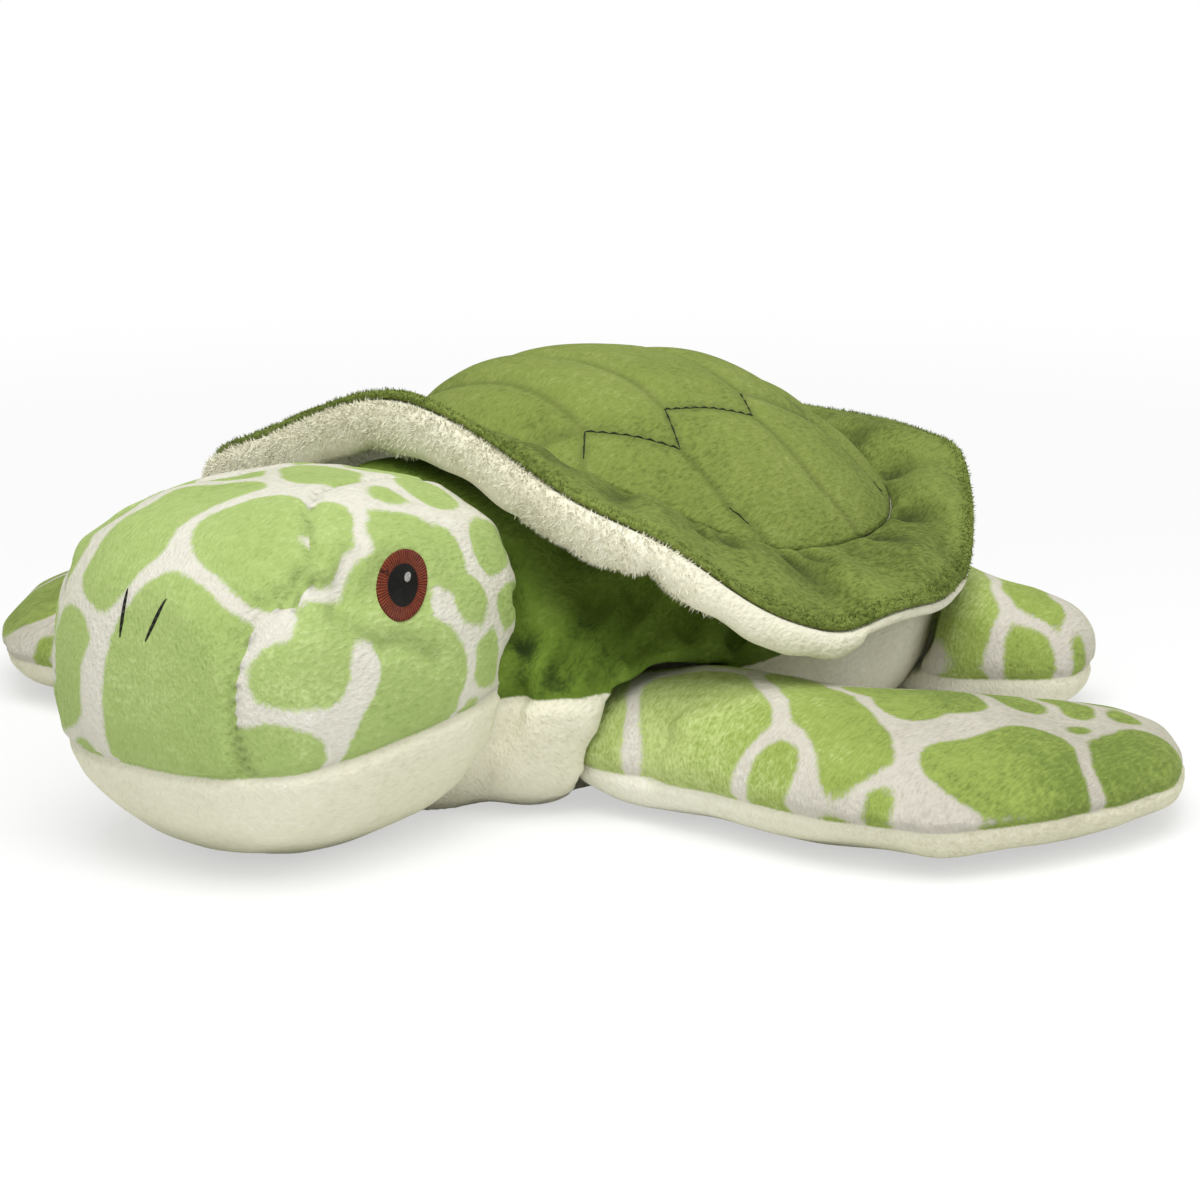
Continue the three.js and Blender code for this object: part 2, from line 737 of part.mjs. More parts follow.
// Everything above the lining's underside, lowered by a drop: what the body may not reach.
function carapaceRoom(drop) {
  const loops = liningLoops(domeFillingSides, liningInnerShares, roomShares);
  const lower = liningUnderside(loops, liningInnerShares.length, roomShares, drop);
  const upper = lower.map((loop) => loop.map((p) => p.clone().setZ(skyHigh)));
  return skin([...upper, ...lower.reverse()], false);
}

const roomShares = [0, 1];

const fillingShares = [0, 0.3, 0.6, 0.85, 1];

function addCarapace() {
  const outside = domeLens(carapaceSides, domeRingShares, 0, true, 0);
  const quiltThickness = clothThickness + quiltDepth;
  const inside = domeLens(domeFillingSides, fillingShares, quiltThickness, false, clothThickness);
  const filling = domeLens(domeFillingSides, fillingShares, quiltThickness + fillingGap, false, -fillingLift);
  addPiece('quilted_carapace', outside.subtract(inside), mossPlush);
  addPiece('carapace_filling', filling, fibre);
  addRim();
  addLining();
}

// Tail: a small pillow that leaves the trunk low at the back.
function addTail() {
  const form = stuffedForm(fillingSides, fillingRings, (p) => {
    const taper = 1 - Math.max(0, p.y) / 2;
    p.set(p.x * tailWidth * taper / 2, p.y * tailLength / 2, p.z * tailHeight * taper / 2);
    p.add(new THREE.Vector3(0, bodyHalf.y + tailLength / 4, bodyCentre.z));
  });
  addPiece('tail', form.subtract(bodyForm(bodySides, bodyRings, -seamGap)), forestPlush);
}

addBody();
addHead();
addFace();
addFlipper('front_left_flipper', frontFlipper, 1, frontLeftSweepAngle);
addFlipper('front_right_flipper', frontFlipper, -1, frontRightSweepAngle);
addFlipper('hind_left_flipper', hindFlipper, 1, hindSweepAngle);
addFlipper('hind_right_flipper', hindFlipper, -1, hindSweepAngle);
addCarapace();
addTail();

export default turtle;
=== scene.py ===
"""Plush sea turtle: soft covers, printed pile, stitched eyes and a quilted carapace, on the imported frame."""

import logging
import math
from dataclasses import dataclass
from enum import Enum

import bmesh
import bpy
import numpy as np
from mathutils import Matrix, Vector
from mathutils.bvhtree import BVHTree


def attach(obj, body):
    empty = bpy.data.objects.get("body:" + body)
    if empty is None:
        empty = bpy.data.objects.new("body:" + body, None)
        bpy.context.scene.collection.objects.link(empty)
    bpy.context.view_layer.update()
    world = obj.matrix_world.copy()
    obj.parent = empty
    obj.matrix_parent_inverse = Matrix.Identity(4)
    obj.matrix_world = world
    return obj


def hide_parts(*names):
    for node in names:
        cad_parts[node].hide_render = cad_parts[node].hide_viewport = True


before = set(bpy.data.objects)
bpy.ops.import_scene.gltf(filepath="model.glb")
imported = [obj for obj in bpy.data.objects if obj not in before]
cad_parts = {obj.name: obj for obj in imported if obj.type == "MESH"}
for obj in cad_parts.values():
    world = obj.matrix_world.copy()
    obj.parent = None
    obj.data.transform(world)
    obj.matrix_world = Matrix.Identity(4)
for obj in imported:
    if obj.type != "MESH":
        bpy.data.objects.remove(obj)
log = logging.getLogger("plush_turtle")

Point = tuple[float, float, float]
Disc = tuple[float, float, float, float]
Run = tuple[Point, ...]
Line = tuple[tuple[float, float], ...]

MM = 0.001
UP = np.array([0, 0, 1])
WHITE = (1, 1, 1, 1)
SIDES = ((1, "left"), (-1, "right"))

# Marks in millimetres on a cover that has no seam or no print of its own.
ABOVE_SEAM, BELOW_SEAM, INSIDE_PATCH = 10.0, -10.0, 10.0

CLOTH = {
    "quality": 5,
    "mass": 0.3,
    "use_pressure": True,
    "uniform_pressure_force": 4,
    "tension_stiffness": 12,
    "compression_stiffness": 4,
    "bending_stiffness": 0.2,
}
CLOTH_FRAMES = 20
LEAST_HELD = 0.02


# Shader maths


def dye(code: str) -> tuple[float, float, float, float]:
    """Turns a dye's code into linear colour.

    Args:
        code: six hexadecimal digits, as a colour is usually written.

    Returns:
        Red, green and blue for a shader, with full alpha.
    """
    shares = [int(code[i : i + 2], 16) / 255 for i in (0, 2, 4)]
    linear = [s / 12.92 if s <= 0.04045 else ((s + 0.055) / 1.055) ** 2.4 for s in shares]
    return (*linear, 1.0)


class Level:
    """A number at a shader socket; arithmetic on it adds Math nodes."""

    def __init__(self, board: "Board", socket: bpy.types.NodeSocket) -> None:
        """Wraps a socket of a board."""
        self.board = board
        self.socket = socket

    def _made(self, operation: str, *values: "Level | float") -> "Level":
        """Adds one Math node.

        Args:
            operation: the Math node's operation.
            values: its inputs in order.

        Returns:
            The node's output.
        """
        made = self.board.node("Math", dict(enumerate(values)), operation=operation)
        return Level(self.board, made.outputs[0])

    def __add__(self, other: "Level | float") -> "Level":
        """Sum."""
        return self._made("ADD", self, other)

    def __radd__(self, other: float) -> "Level":
        """Sum with a number in front."""
        return self._made("ADD", other, self)

    def __sub__(self, other: "Level | float") -> "Level":
        """Difference."""
        return self._made("SUBTRACT", self, other)

    def __rsub__(self, other: float) -> "Level":
        """Difference from a number."""
        return self._made("SUBTRACT", other, self)

    def __mul__(self, other: "Level | float") -> "Level":
        """Product."""
        return self._made("MULTIPLY", self, other)

    def __rmul__(self, other: float) -> "Level":
        """Product with a number in front."""
        return self._made("MULTIPLY", other, self)

    def sine(self) -> "Level":
        """Sine of an angle in radians."""
        return self._made("SINE", self)

    def eased(self, low: float, high: float) -> "Level":
        """Goes smoothly from 0 to 1.

        Args:
            low: value that gives 0.
            high: value that gives 1.

        Returns:
            The eased share.
        """
        inputs = {"Value": self, "From Min": low, "From Max": high, "To Min": 0.0, "To Max": 1.0}
        made = self.board.node("MapRange", inputs, interpolation_type="SMOOTHSTEP")
        return Level(self.board, made.outputs[0])


class Board:
    """The node board of one material or world."""

    def __init__(self, owner: bpy.types.Material | bpy.types.World, output: str = "OutputMaterial") -> None:
        """Clears the owner's board and gives it an output.

        Args:
            owner: the material or world.
            output: the output node's type without its prefix.
        """
        owner.use_nodes = True
        self.owner = owner
        self.tree = owner.node_tree
        self.tree.nodes.clear()
        self.output = self.node(output)

    def node(self, kind: str, inputs: dict | None = None, **settings: object) -> bpy.types.Node:
        """Adds a node.

        Args:
            kind: the node's type without its prefix.
            inputs: numbers, colours, sockets or levels by the input's name or index.
            settings: its properties, set before its inputs.

        Returns:
            The new node.
        """
        made = self.tree.nodes.new("ShaderNode" + kind)
        for key, value in settings.items():
            setattr(made, key, value)
        for key, value in (inputs or {}).items():
            source = value.socket if isinstance(value, Level) else value
            if isinstance(source, bpy.types.NodeSocket):
                self.tree.links.new(source, made.inputs[key])
            else:
                made.inputs[key].default_value = source
        return made

    def close(self, surface: bpy.types.Node) -> None:
        """Links a surface or background to the output."""
        self.tree.links.new(surface.outputs[0], self.output.inputs[0])

    def place(self, stretch: Point = (1, 1, 1)) -> bpy.types.NodeSocket:
        """Object coordinates, stretched by factors along X, Y and Z."""
        coordinates = self.node("TexCoord").outputs["Object"]
        return self.node("Mapping", {"Vector": coordinates, "Scale": stretch}).outputs[0]

    def noise(self, size: float, detail: float = 2, stretch: Point = (1, 1, 1)) -> Level:
        """Soft noise about zero.

        Args:
            size: size of its spots in metres.
            detail: how much finer noise is added.
            stretch: factors on the coordinates along X, Y and Z.

        Returns:
            A level from about -0.5 to 0.5.
        """
        inputs = {"Vector": self.place(stretch), "Scale": 1 / size, "Detail": detail, "Roughness": 0.6}
        return Level(self, self.node("TexNoise", inputs).outputs[0]) - 0.5

    def attribute(self, name: str) -> Level:
        """The mesh's own attribute of that name."""
        return Level(self, self.node("Attribute", attribute_name=name).outputs["Fac"])

    def mixed(self, share: Level, first: object, second: object) -> bpy.types.NodeSocket:
        """Mixes two colours or sockets; the share is the second one's."""
        return self.node("Mix", {0: share, 6: first, 7: second}, data_type="RGBA").outputs[2]

    def finish(
        self, colour: object, roughness: float, sheen: float, height: Level, relief: float, tint: Disc = WHITE
    ) -> bpy.types.Material:
        """Closes the board with a cloth-like surface.

        Args:
            colour: colour or socket.
            roughness: the surface's roughness.
            sheen: weight of the soft light that pile gives at its edges.
            height: relief from about -1 to 1.
            relief: real height of one unit of that relief in metres.
            tint: colour of the pile's soft light.

        Returns:
            The finished material.
        """
        bump = self.node("Bump", {"Height": height, "Distance": relief, "Strength": 1.0})
        inputs = {
            "Base Color": colour,
            "Roughness": roughness,
            "Sheen Weight": sheen,
            "Sheen Roughness": 0.45,
            "Sheen Tint": tint,
            "Specular IOR Level": 0.2,
            "Normal": bump.outputs[0],
        }
        self.close(self.node("BsdfPrincipled", inputs))
        return self.owner


# Finishes


@dataclass(frozen=True)
class Pile:
    """One dye of short-pile plush, with its shade where the pile is crushed and its lit tips."""

    body: str
    crushed: str
    tips: str

    def colour(self, board: Board, tone: Level) -> bpy.types.NodeSocket:
        """Colour of the pile.

        Args:
            board: the material's board.
            tone: how the pile lies, from about -0.5 (crushed) to 0.5 (tips), plus the painted light and
                painted shade of the lit attribute.

        Returns:
            The colour's socket.
        """
        dark = board.mixed(tone.eased(-0.45, 0.05), dye(self.crushed), dye(self.body))
        return board.mixed(tone.eased(0.0, 0.5), dark, dye(self.tips))


class Dye(Enum):
    """The dyes of the toy's plush."""

    MOSS = Pile("7a8841", "4a591f", "99a660")
    FOREST = Pile("5f7727", "31440f", "7d9440")
    CREAM = Pile("dfdcc6", "c8c4aa", "eeecde")
    LEAF = Pile("9db16a", "7f974d", "c3d394")
    # Painted shade: the flippers' copy of LEAF, the same print, darkened.
    LEAF_SHADED_ON_FLIPPERS = Pile("8c9e4d", "647633", "bccb86")
    MILK = Pile("cfccbf", "bcb8a9", "e2e0d7")
    # Painted shade: the flippers' copy of MILK, the same print, darkened.
    MILK_SHADED_ON_FLIPPERS = Pile("c1bcb0", "aaa598", "dad6cc")


@dataclass(frozen=True)
class Plush:
    """Plush in one dye, or printed with patches, above a seam, and another plush below it."""

    name: str
    above: Dye
    below: Dye
    between_patches: Dye | None = None
    nap: float = 0.03
    relief: float = 0.0003
    sheen: float = 0.3
    has_cheeks: bool = False
    # Colour of the painted shade that the shade attribute mixes into the plush.
    shadow: str = "20280f"

    def material(self) -> bpy.types.Material:
        """Builds the plush.

        Returns:
            Its material, which reads the attributes seam and patch in millimetres.
        """
        board = Board(bpy.data.materials.new(self.name))
        fibres = board.noise(0.7 * MM, 1, (1.0, 0.3, 0.55))
        clumps = board.noise(3.5 * MM, 2)
        nap = board.noise(self.nap, 1)
        # The lit attribute adds painted light and painted shade to the pile's random tone.
        tone = fibres * 0.55 + clumps * 0.38 + nap * 0.55 + board.attribute("lit")
        colour = self.above.value.colour(board, tone)
        ragged = fibres * 1.6 + clumps * 1.2
        if self.between_patches is not None:
            patch = board.attribute("patch")
            if self.has_cheeks:
                on_cheek = board.attribute("edge").eased(-0.25, 0.25)
                patch = patch + (board.attribute("cheek") - patch) * on_cheek
            printed = (patch + ragged).eased(-0.7, 0.7)
            colour = board.mixed(printed, self.between_patches.value.colour(board, tone), colour)
        seam = board.attribute("seam")
        over_seam = (seam + ragged * 0.5).eased(-0.4, 0.4)
        colour = board.mixed(over_seam, self.below.value.colour(board, tone), colour)
        # Painted shade: the shade attribute mixes the shadow colour in.
        colour = board.mixed(board.attribute("shade"), colour, dye(self.shadow))
        tips = dye(self.above.value.tips)
        return board.finish(colour, 0.92, self.sheen, fibres * 1.6 + clumps, self.relief, tips)


CREAM_PLUSH = Plush("cream_lining", Dye.CREAM, Dye.CREAM)


@dataclass(frozen=True)
class SatinThread:
    """Satin stitches laid side by side; the attribute stitch counts them. Their dark dye is painted shade
    between strands and their light dye a painted highlight on them.
    """

    name: str
    body: str
    dark: str
    light: str

    def material(self) -> bpy.types.Material:
        """Builds the thread.

        Returns:
            Its material, which reads the attribute stitch.
        """
        board = Board(bpy.data.materials.new(self.name))
        strand = (board.attribute("stitch") * (2 * math.pi)).sine()
        mottle = board.noise(1.2 * MM, 2)
        # Painted shade between the strands and a painted highlight on their crests, on the same wave as the
        # bump; the mottle is the thread's own.
        base = board.mixed((strand * 0.5 + mottle).eased(-0.7, 0.3), dye(self.dark), dye(self.body))
        colour = board.mixed((strand + mottle * 1.5).eased(0.5, 1.5), base, dye(self.light))
        return board.finish(colour, 0.5, 0.02, strand + mottle, 0.00012)


# Mesh helpers


def added(name: str, mesh: bpy.types.Mesh) -> bpy.types.Object:
    """Links a new object of that mesh to the scene.

    Args:
        name: the object's name.
        mesh: its mesh, camera or lamp.

    Returns:
        The new object.
    """
    made = bpy.data.objects.new(name, mesh)
    bpy.context.scene.collection.objects.link(made)
    return made


def baked(piece: bpy.types.Object) -> None:
    """Makes the piece's modifiers final.

    Args:
        piece: the object whose modifiers are applied.
    """
    depsgraph = bpy.context.evaluated_depsgraph_get()
    mesh = bpy.data.meshes.new_from_object(piece.evaluated_get(depsgraph))
    piece.modifiers.clear()
    old = piece.data
    piece.data = mesh
    bpy.data.meshes.remove(old)


def rows(items: bpy.types.bpy_prop_collection, name: str) -> np.ndarray:
    """Reads a vector of every item, one row each.

    Args:
        items: the mesh's vertices or normals.
        name: the vector's name.

    Returns:
        One row for each item.
    """
    found = np.zeros(len(items) * 3, np.float32)
    items.foreach_get(name, found)
    return found.reshape(-1, 3).astype(float)


def places(piece: bpy.types.Object) -> np.ndarray:
    """Vertex places of a piece, one row each."""
    return rows(piece.data.vertices, "co")


def put(piece: bpy.types.Object, where: np.ndarray) -> None:
    """Moves the vertices of a piece to new places."""
    piece.data.vertices.foreach_set("co", where.astype(np.float32).ravel())
    piece.data.update()


def outward(piece: bpy.types.Object) -> np.ndarray:
    """Vertex normals of a piece, one row each."""
    return rows(piece.data.vertex_normals, "vector")


def surface_of(piece: bpy.types.Object) -> BVHTree:
    """The piece's surface, which rays can meet."""
    mesh = piece.data
    return BVHTree.FromPolygons([v.co for v in mesh.vertices], [p.vertices for p in mesh.polygons])


def mark(piece: bpy.types.Object, name: str, values: np.ndarray) -> None:
    """Stores one number for each vertex.

    Args:
        piece: the piece.
        name: the attribute's name.
        values: one number for each vertex.
    """
    found = piece.data.attributes.get(name) or piece.data.attributes.new(name, "FLOAT", "POINT")
    found.data.foreach_set("value", np.asarray(values, np.float32))


def mark_plain(piece: bpy.types.Object, seam: float, shade: np.ndarray | float = 0.0) -> None:
    """Stores the marks of cover with no print and no seam.

    Args:
        piece: the piece.
        seam: ABOVE_SEAM or BELOW_SEAM.
        shade: share of shadow, for the whole piece or for each vertex.
    """
    for name, value in (("seam", seam), ("patch", INSIDE_PATCH), ("shade", shade)):
        mark(piece, name, np.zeros(len(piece.data.vertices)) + value)


def cast(name: str, nodes: list[str], voxel: float, rounds: int) -> bpy.types.Object:
    """Casts one soft skin over solids of the frame.

    Args:
        name: the new piece's name.
        nodes: the solids that it covers.
        voxel: size of the skin's cells in metres.
        rounds: how often the skin is smoothed.

    Returns:
        The skin, closed and at the solids' place.
    """
    shell = bmesh.new()
    for node in nodes:
        shell.from_mesh(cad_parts[node].data)
    bmesh.ops.remove_doubles(shell, verts=shell.verts, dist=1e-6)
    mesh = bpy.data.meshes.new(name)
    shell.to_mesh(mesh)
    shell.free()
    piece = added(name, mesh)
    remesh = piece.modifiers.new("cast", "REMESH")
    remesh.mode = "VOXEL"
    remesh.voxel_size = voxel
    smooth = piece.modifiers.new("soften", "SMOOTH")
    smooth.factor = 0.5
    smooth.iterations = rounds
    baked(piece)
    return piece


def refined(piece: bpy.types.Object) -> None:
    """Adds one level of subdivision to a piece.

    Args:
        piece: the piece.
    """
    finer = piece.modifiers.new("finer", "SUBSURF")
    finer.levels = 1
    finer.render_levels = 1
    baked(piece)


def dressed(piece: bpy.types.Object, material: bpy.types.Material, body: str) -> bpy.types.Object:
    """Gives a finished piece its material and body.

    Args:
        piece: the piece, in place.
        material: its material.
        body: the body that it moves with.

    Returns:
        The piece.
    """
    piece.data.materials.clear()
    piece.data.materials.append(material)
    piece.data.polygons.foreach_set("use_smooth", [True] * len(piece.data.polygons))
    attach(piece, body)
    log.info("%s: %d faces, rides on %s", piece.name, len(piece.data.polygons), body)
    return piece


def bell(distance: np.ndarray, width: float) -> np.ndarray:
    """A bell curve of a distance: 1 at zero, fading over the width."""
    return np.exp(-((distance / width) ** 2))


def ramp(values: np.ndarray, low: float, high: float) -> np.ndarray:
    """Goes smoothly from 0 at low to 1 at high."""
    share = np.clip((values - low) / (high - low), 0, 1)
    return share * share * (3 - 2 * share)


def from_run(where: np.ndarray, run: np.ndarray) -> np.ndarray:
    """Distance of each place from a run of straight lines.

    Args:
        where: places, in space or in plan.
        run: the run's points, likewise.

    Returns:
        One distance for each place.
    """
    nearest = np.full(len(where), 1.0)
    for a, b in zip(run[:-1], run[1:]):
        span = b - a
        share = np.clip((where - a) @ span / (span @ span), 0, 1)
        nearest = np.minimum(nearest, np.linalg.norm(where - a - share[:, None] * span, axis=1))
    return nearest


def creased(where: np.ndarray, runs: tuple[Run, ...], width: float) -> np.ndarray:
    """How deep each place lies in one of the creases, from 0 to 1.

    Args:
        where: places in metres.
        runs: the creases' points in millimetres.
        width: width of a crease in metres.

    Returns:
        One share for each place.
    """
    return np.max([bell(from_run(where, np.array(run) * MM), width) for run in runs], axis=0)


def on_left(where: np.ndarray) -> np.ndarray:
    """Places carried over to the left side by the toy's symmetry."""
    return np.column_stack([np.abs(where[:, 0]), where[:, 1:]])


def ripple(where: np.ndarray, size: float, seed: int) -> np.ndarray:
    """Soft irregular relief about zero, the same at every run.

    Args:
        where: places in metres.
        size: size of its waves in metres.
        seed: picks one of many reliefs.

    Returns:
        One value for each place, mostly from -1 to 1.
    """
    chance = np.random.default_rng(seed)
    total = np.zeros(len(where))
    for _ in range(9):
        direction = chance.normal(size=3)
        direction /= np.linalg.norm(direction)
        pitch = size * chance.uniform(0.7, 1.6)
        total += np.sin(where @ direction * (2 * math.pi / pitch) + chance.uniform(0, 2 * math.pi))
    return total / 3


# Print


@dataclass(frozen=True)
class PatchPrint:
    """Patches of print with pale lines between them, each patch a run of soft discs.

    A disc is a place and a radius, and all lengths are in millimetres.
    """

    patches: tuple[tuple[Disc, ...], ...]
    line: float = 1.3
    growth: float = 3.6
    blending: float = 1.4

    def reach(self, where: np.ndarray, discs: tuple[Disc, ...]) -> np.ndarray:
        """Distance of each place outside one patch, negative inside."""
        gaps = np.stack([np.linalg.norm(where - np.array(disc[:3]), axis=1) - disc[3] for disc in discs])
        return -self.blending * np.log(np.exp(-gaps / self.blending).sum(axis=0) + 1e-300)

    def inside(self, where: np.ndarray) -> np.ndarray:
        """How far each place lies inside its patch.

        Args:
            where: places in millimetres.

        Returns:
            Millimetres to the patch's edge, negative on the pale lines.
        """
        order = np.sort(np.stack([self.reach(where, patch) for patch in self.patches]), axis=0)
        between = (order[1] - order[0]) / 2 - self.line
        outer = np.exp((order[0] - self.growth) / self.blending)
        return -self.blending * np.log(outer + np.exp(-between / self.blending))


GUSSET_PRINT = PatchPrint((
    ((12, -181, 61, 13), (23, -178, 58, 10), (14, -183, 47, 17), (12, -184, 36, 15), (25, -179, 38, 10)),
    ((-9, -178, 73, 7), (-8, -171, 78, 8), (-7, -161, 83, 8), (-7, -151, 86, 7), (-3, -144, 87, 5)),
    ((13, -160, 83, 7), (16, -151, 85, 7), (19, -164, 80, 8), (28, -167, 75, 6), (32, -160, 74, 6)),
    ((-17, -181, 59, 4), (-21, -181, 50, 5), (-22, -181, 41, 6), (-27, -178, 47, 6)),
    ((21, -131, 86, 3),),
    ((0, -118, 87, 8), (6, -124, 87, 6)),
    ((-13, -132, 87, 6),),
    ((3, -97, 82, 8),),
    ((-17, -183, 30, 3),),
    ((-27, -159, 77, 5), (-30, -151, 77, 5), (-29, -168, 71, 5)),
))

CHEEK_PRINT = PatchPrint((
    ((30, -147, 81, 6), (34, -153, 76, 5), (27, -141, 83, 5)),
    (
        *((34, -134, 79, 5), (32, -125, 80, 6), (38, -145, 71, 6), (40, -137, 68, 8), (42, -147, 66, 2)),
        *((38, -118, 72, 5), (43, -112, 62, 3), (44, -109, 56, 2), (40, -151, 67, 2), (43, -138, 61, 4)),
        *((40, -154, 65, 2), (38, -159, 66, 3), (39, -161, 59, 4), (40, -162, 53, 4), (35, -168, 53, 6)),
        *((44, -137, 56, 4), (45, -136, 52, 5), (45, -127, 52, 4), (45, -131, 46, 8), (45, -138, 42, 7)),
        *((44, -144, 36, 6), (43, -149, 31, 4), (43, -135, 34, 9), (45, -122, 46, 5), (44, -125, 36, 6)),
    ),
    ((34, -171, 39, 4), (37, -168, 34, 5), (30, -174, 35, 5)),
    ((43, -107, 50, 4), (45, -108, 42, 4)),
    ((43, -115, 33, 3), (44, -111, 36, 3)),
    ((25, -121, 83, 4),),
    ((36, -99, 70, 6),),
    ((40, -96, 57, 5),),
    ((23, -105, 82, 6),),
    ((38, -91, 45, 5),),
))

FRONT_PRINT = PatchPrint((
    ((5, -17, 0, 8), (14, -24, 0, 9), (18, -31, 0, 8), (10, -30, 0, 7), (14, -14, 0, 7)),
    ((-12, -17, 0, 4), (-14, -8, 0, 5)),
    ((34, -8, 0, 5), (40, -18, 0, 7), (43, -30, 0, 8), (46, -42, 0, 7), (48, -51, 0, 6)),
    ((54, -7, 0, 6), (64, -13, 0, 8), (71, -8, 0, 6), (61, -22, 0, 6), (73, -16, 0, 5)),
    ((86, 0, 0, 5), (91, -6, 0, 5), (83, 7, 0, 5)),
    ((105, -6, 0, 4), (99, 1, 0, 4)),
    ((72, -52, 0, 6), (78, -51, 0, 8), (86, -45, 0, 8), (92, -39, 0, 8), (93, -48, 0, 8)),
    ((112, -38, 0, 6), (117, -31, 0, 7), (122, -22, 0, 6), (111, -28, 0, 4)),
    ((27, -45, 0, 2.5), (31, -46, 0, 2)),
    ((52, -60, 0, 2),),
    ((20, 6, 0, 7), (28, 10, 0, 6)),
    ((46, 13, 0, 8), (52, 19, 0, 5)),
    ((68, 13, 0, 7),),
    ((90, 22, 0, 5),),
    ((4, 8, 0, 6),),
    ((110, 8, 0, 4), (114, -6, 0, 3)),
    ((104, -22, 0, 1),),
))

HIND_PRINT = PatchPrint((
    ((25, -18, 0, 6), (22, -10, 0, 7), (27, -22, 0, 4), (19, -3, 0, 4)),
    ((34, -6, 0, 5), (41, -9, 0, 4), (46, -8, 0, 3), (32, 3, 0, 6)),
    ((46, -19, 0, 3), (42, -22, 0, 2.5)),
    ((53, -8, 0, 2),),
    ((4, -4, 0, 6), (8, 6, 0, 5)),
    ((16, 16, 0, 6),),
    ((36, 17, 0, 6), (44, 12, 0, 4)),
))


# Fluff


@dataclass(frozen=True)
class Fluff:
    """Long pile that stands out of a cover as fine pointed blades, each a closed sliver."""

    count: int
    length: float = 1.6 * MM
    width: float = 0.36 * MM
    seed: int = 71

    def roots(self, piece: bpy.types.Object, weights: np.ndarray) -> tuple[np.ndarray, np.ndarray]:
        """Strews roots over a cover.

        Args:
            piece: the cover.
            weights: how thickly the pile grows at each vertex.

        Returns:
            The roots and the cover's outward directions there.
        """
        piece.data.calc_loop_triangles()
        corners = np.zeros(len(piece.data.loop_triangles) * 3, np.int32)
        piece.data.loop_triangles.foreach_get("vertices", corners)
        corners = corners.reshape(-1, 3)
        where, normals = places(piece), outward(piece)
        a, b, c = (where[corners[:, k]] for k in range(3))
        share = np.linalg.norm(np.cross(b - a, c - a), axis=1) * weights[corners].mean(axis=1)
        chance = np.random.default_rng(self.seed)
        chosen = corners[chance.choice(len(corners), self.count, p=share / share.sum())]
        mix = chance.dirichlet((1, 1, 1), self.count)[:, :, None]
        return (where[chosen] * mix).sum(axis=1), (normals[chosen] * mix).sum(axis=1)

    def grown(self, name: str, piece: bpy.types.Object, weights: np.ndarray) -> bpy.types.Object:
        """Grows the blades.

        Args:
            name: the new piece's name.
            piece: the cover.
            weights: how thickly the pile grows at each vertex.

        Returns:
            The blades as one piece.
        """
        roots, normals = self.roots(piece, weights)
        chance = np.random.default_rng(self.seed + 1)
        lean = chance.normal(size=roots.shape) * 0.5 + np.array([0, 0, -0.1])
        tips = normals * 0.55 + lean
        tips *= (chance.uniform(0.6, 1.1, self.count) * self.length / np.linalg.norm(tips, axis=1))[:, None]
        across = np.cross(tips, normals + chance.normal(size=roots.shape) * 0.15)
        across *= (self.width / 2 / np.linalg.norm(across, axis=1))[:, None]
        sunk = roots - normals * 0.1 * MM
        below = roots - normals * 0.2 * MM
        corners = np.stack([sunk - across, sunk + across, below, roots + tips], axis=1).reshape(-1, 3)
        sides = np.array([(0, 1, 3), (1, 0, 2), (0, 3, 2), (1, 2, 3)])
        faces = (np.arange(self.count)[:, None, None] * 4 + sides).reshape(-1, 3)
        mesh = bpy.data.meshes.new(name)
        mesh.from_pydata(corners.tolist(), [], faces.tolist())
        return added(name, mesh)


# Stuffed pieces


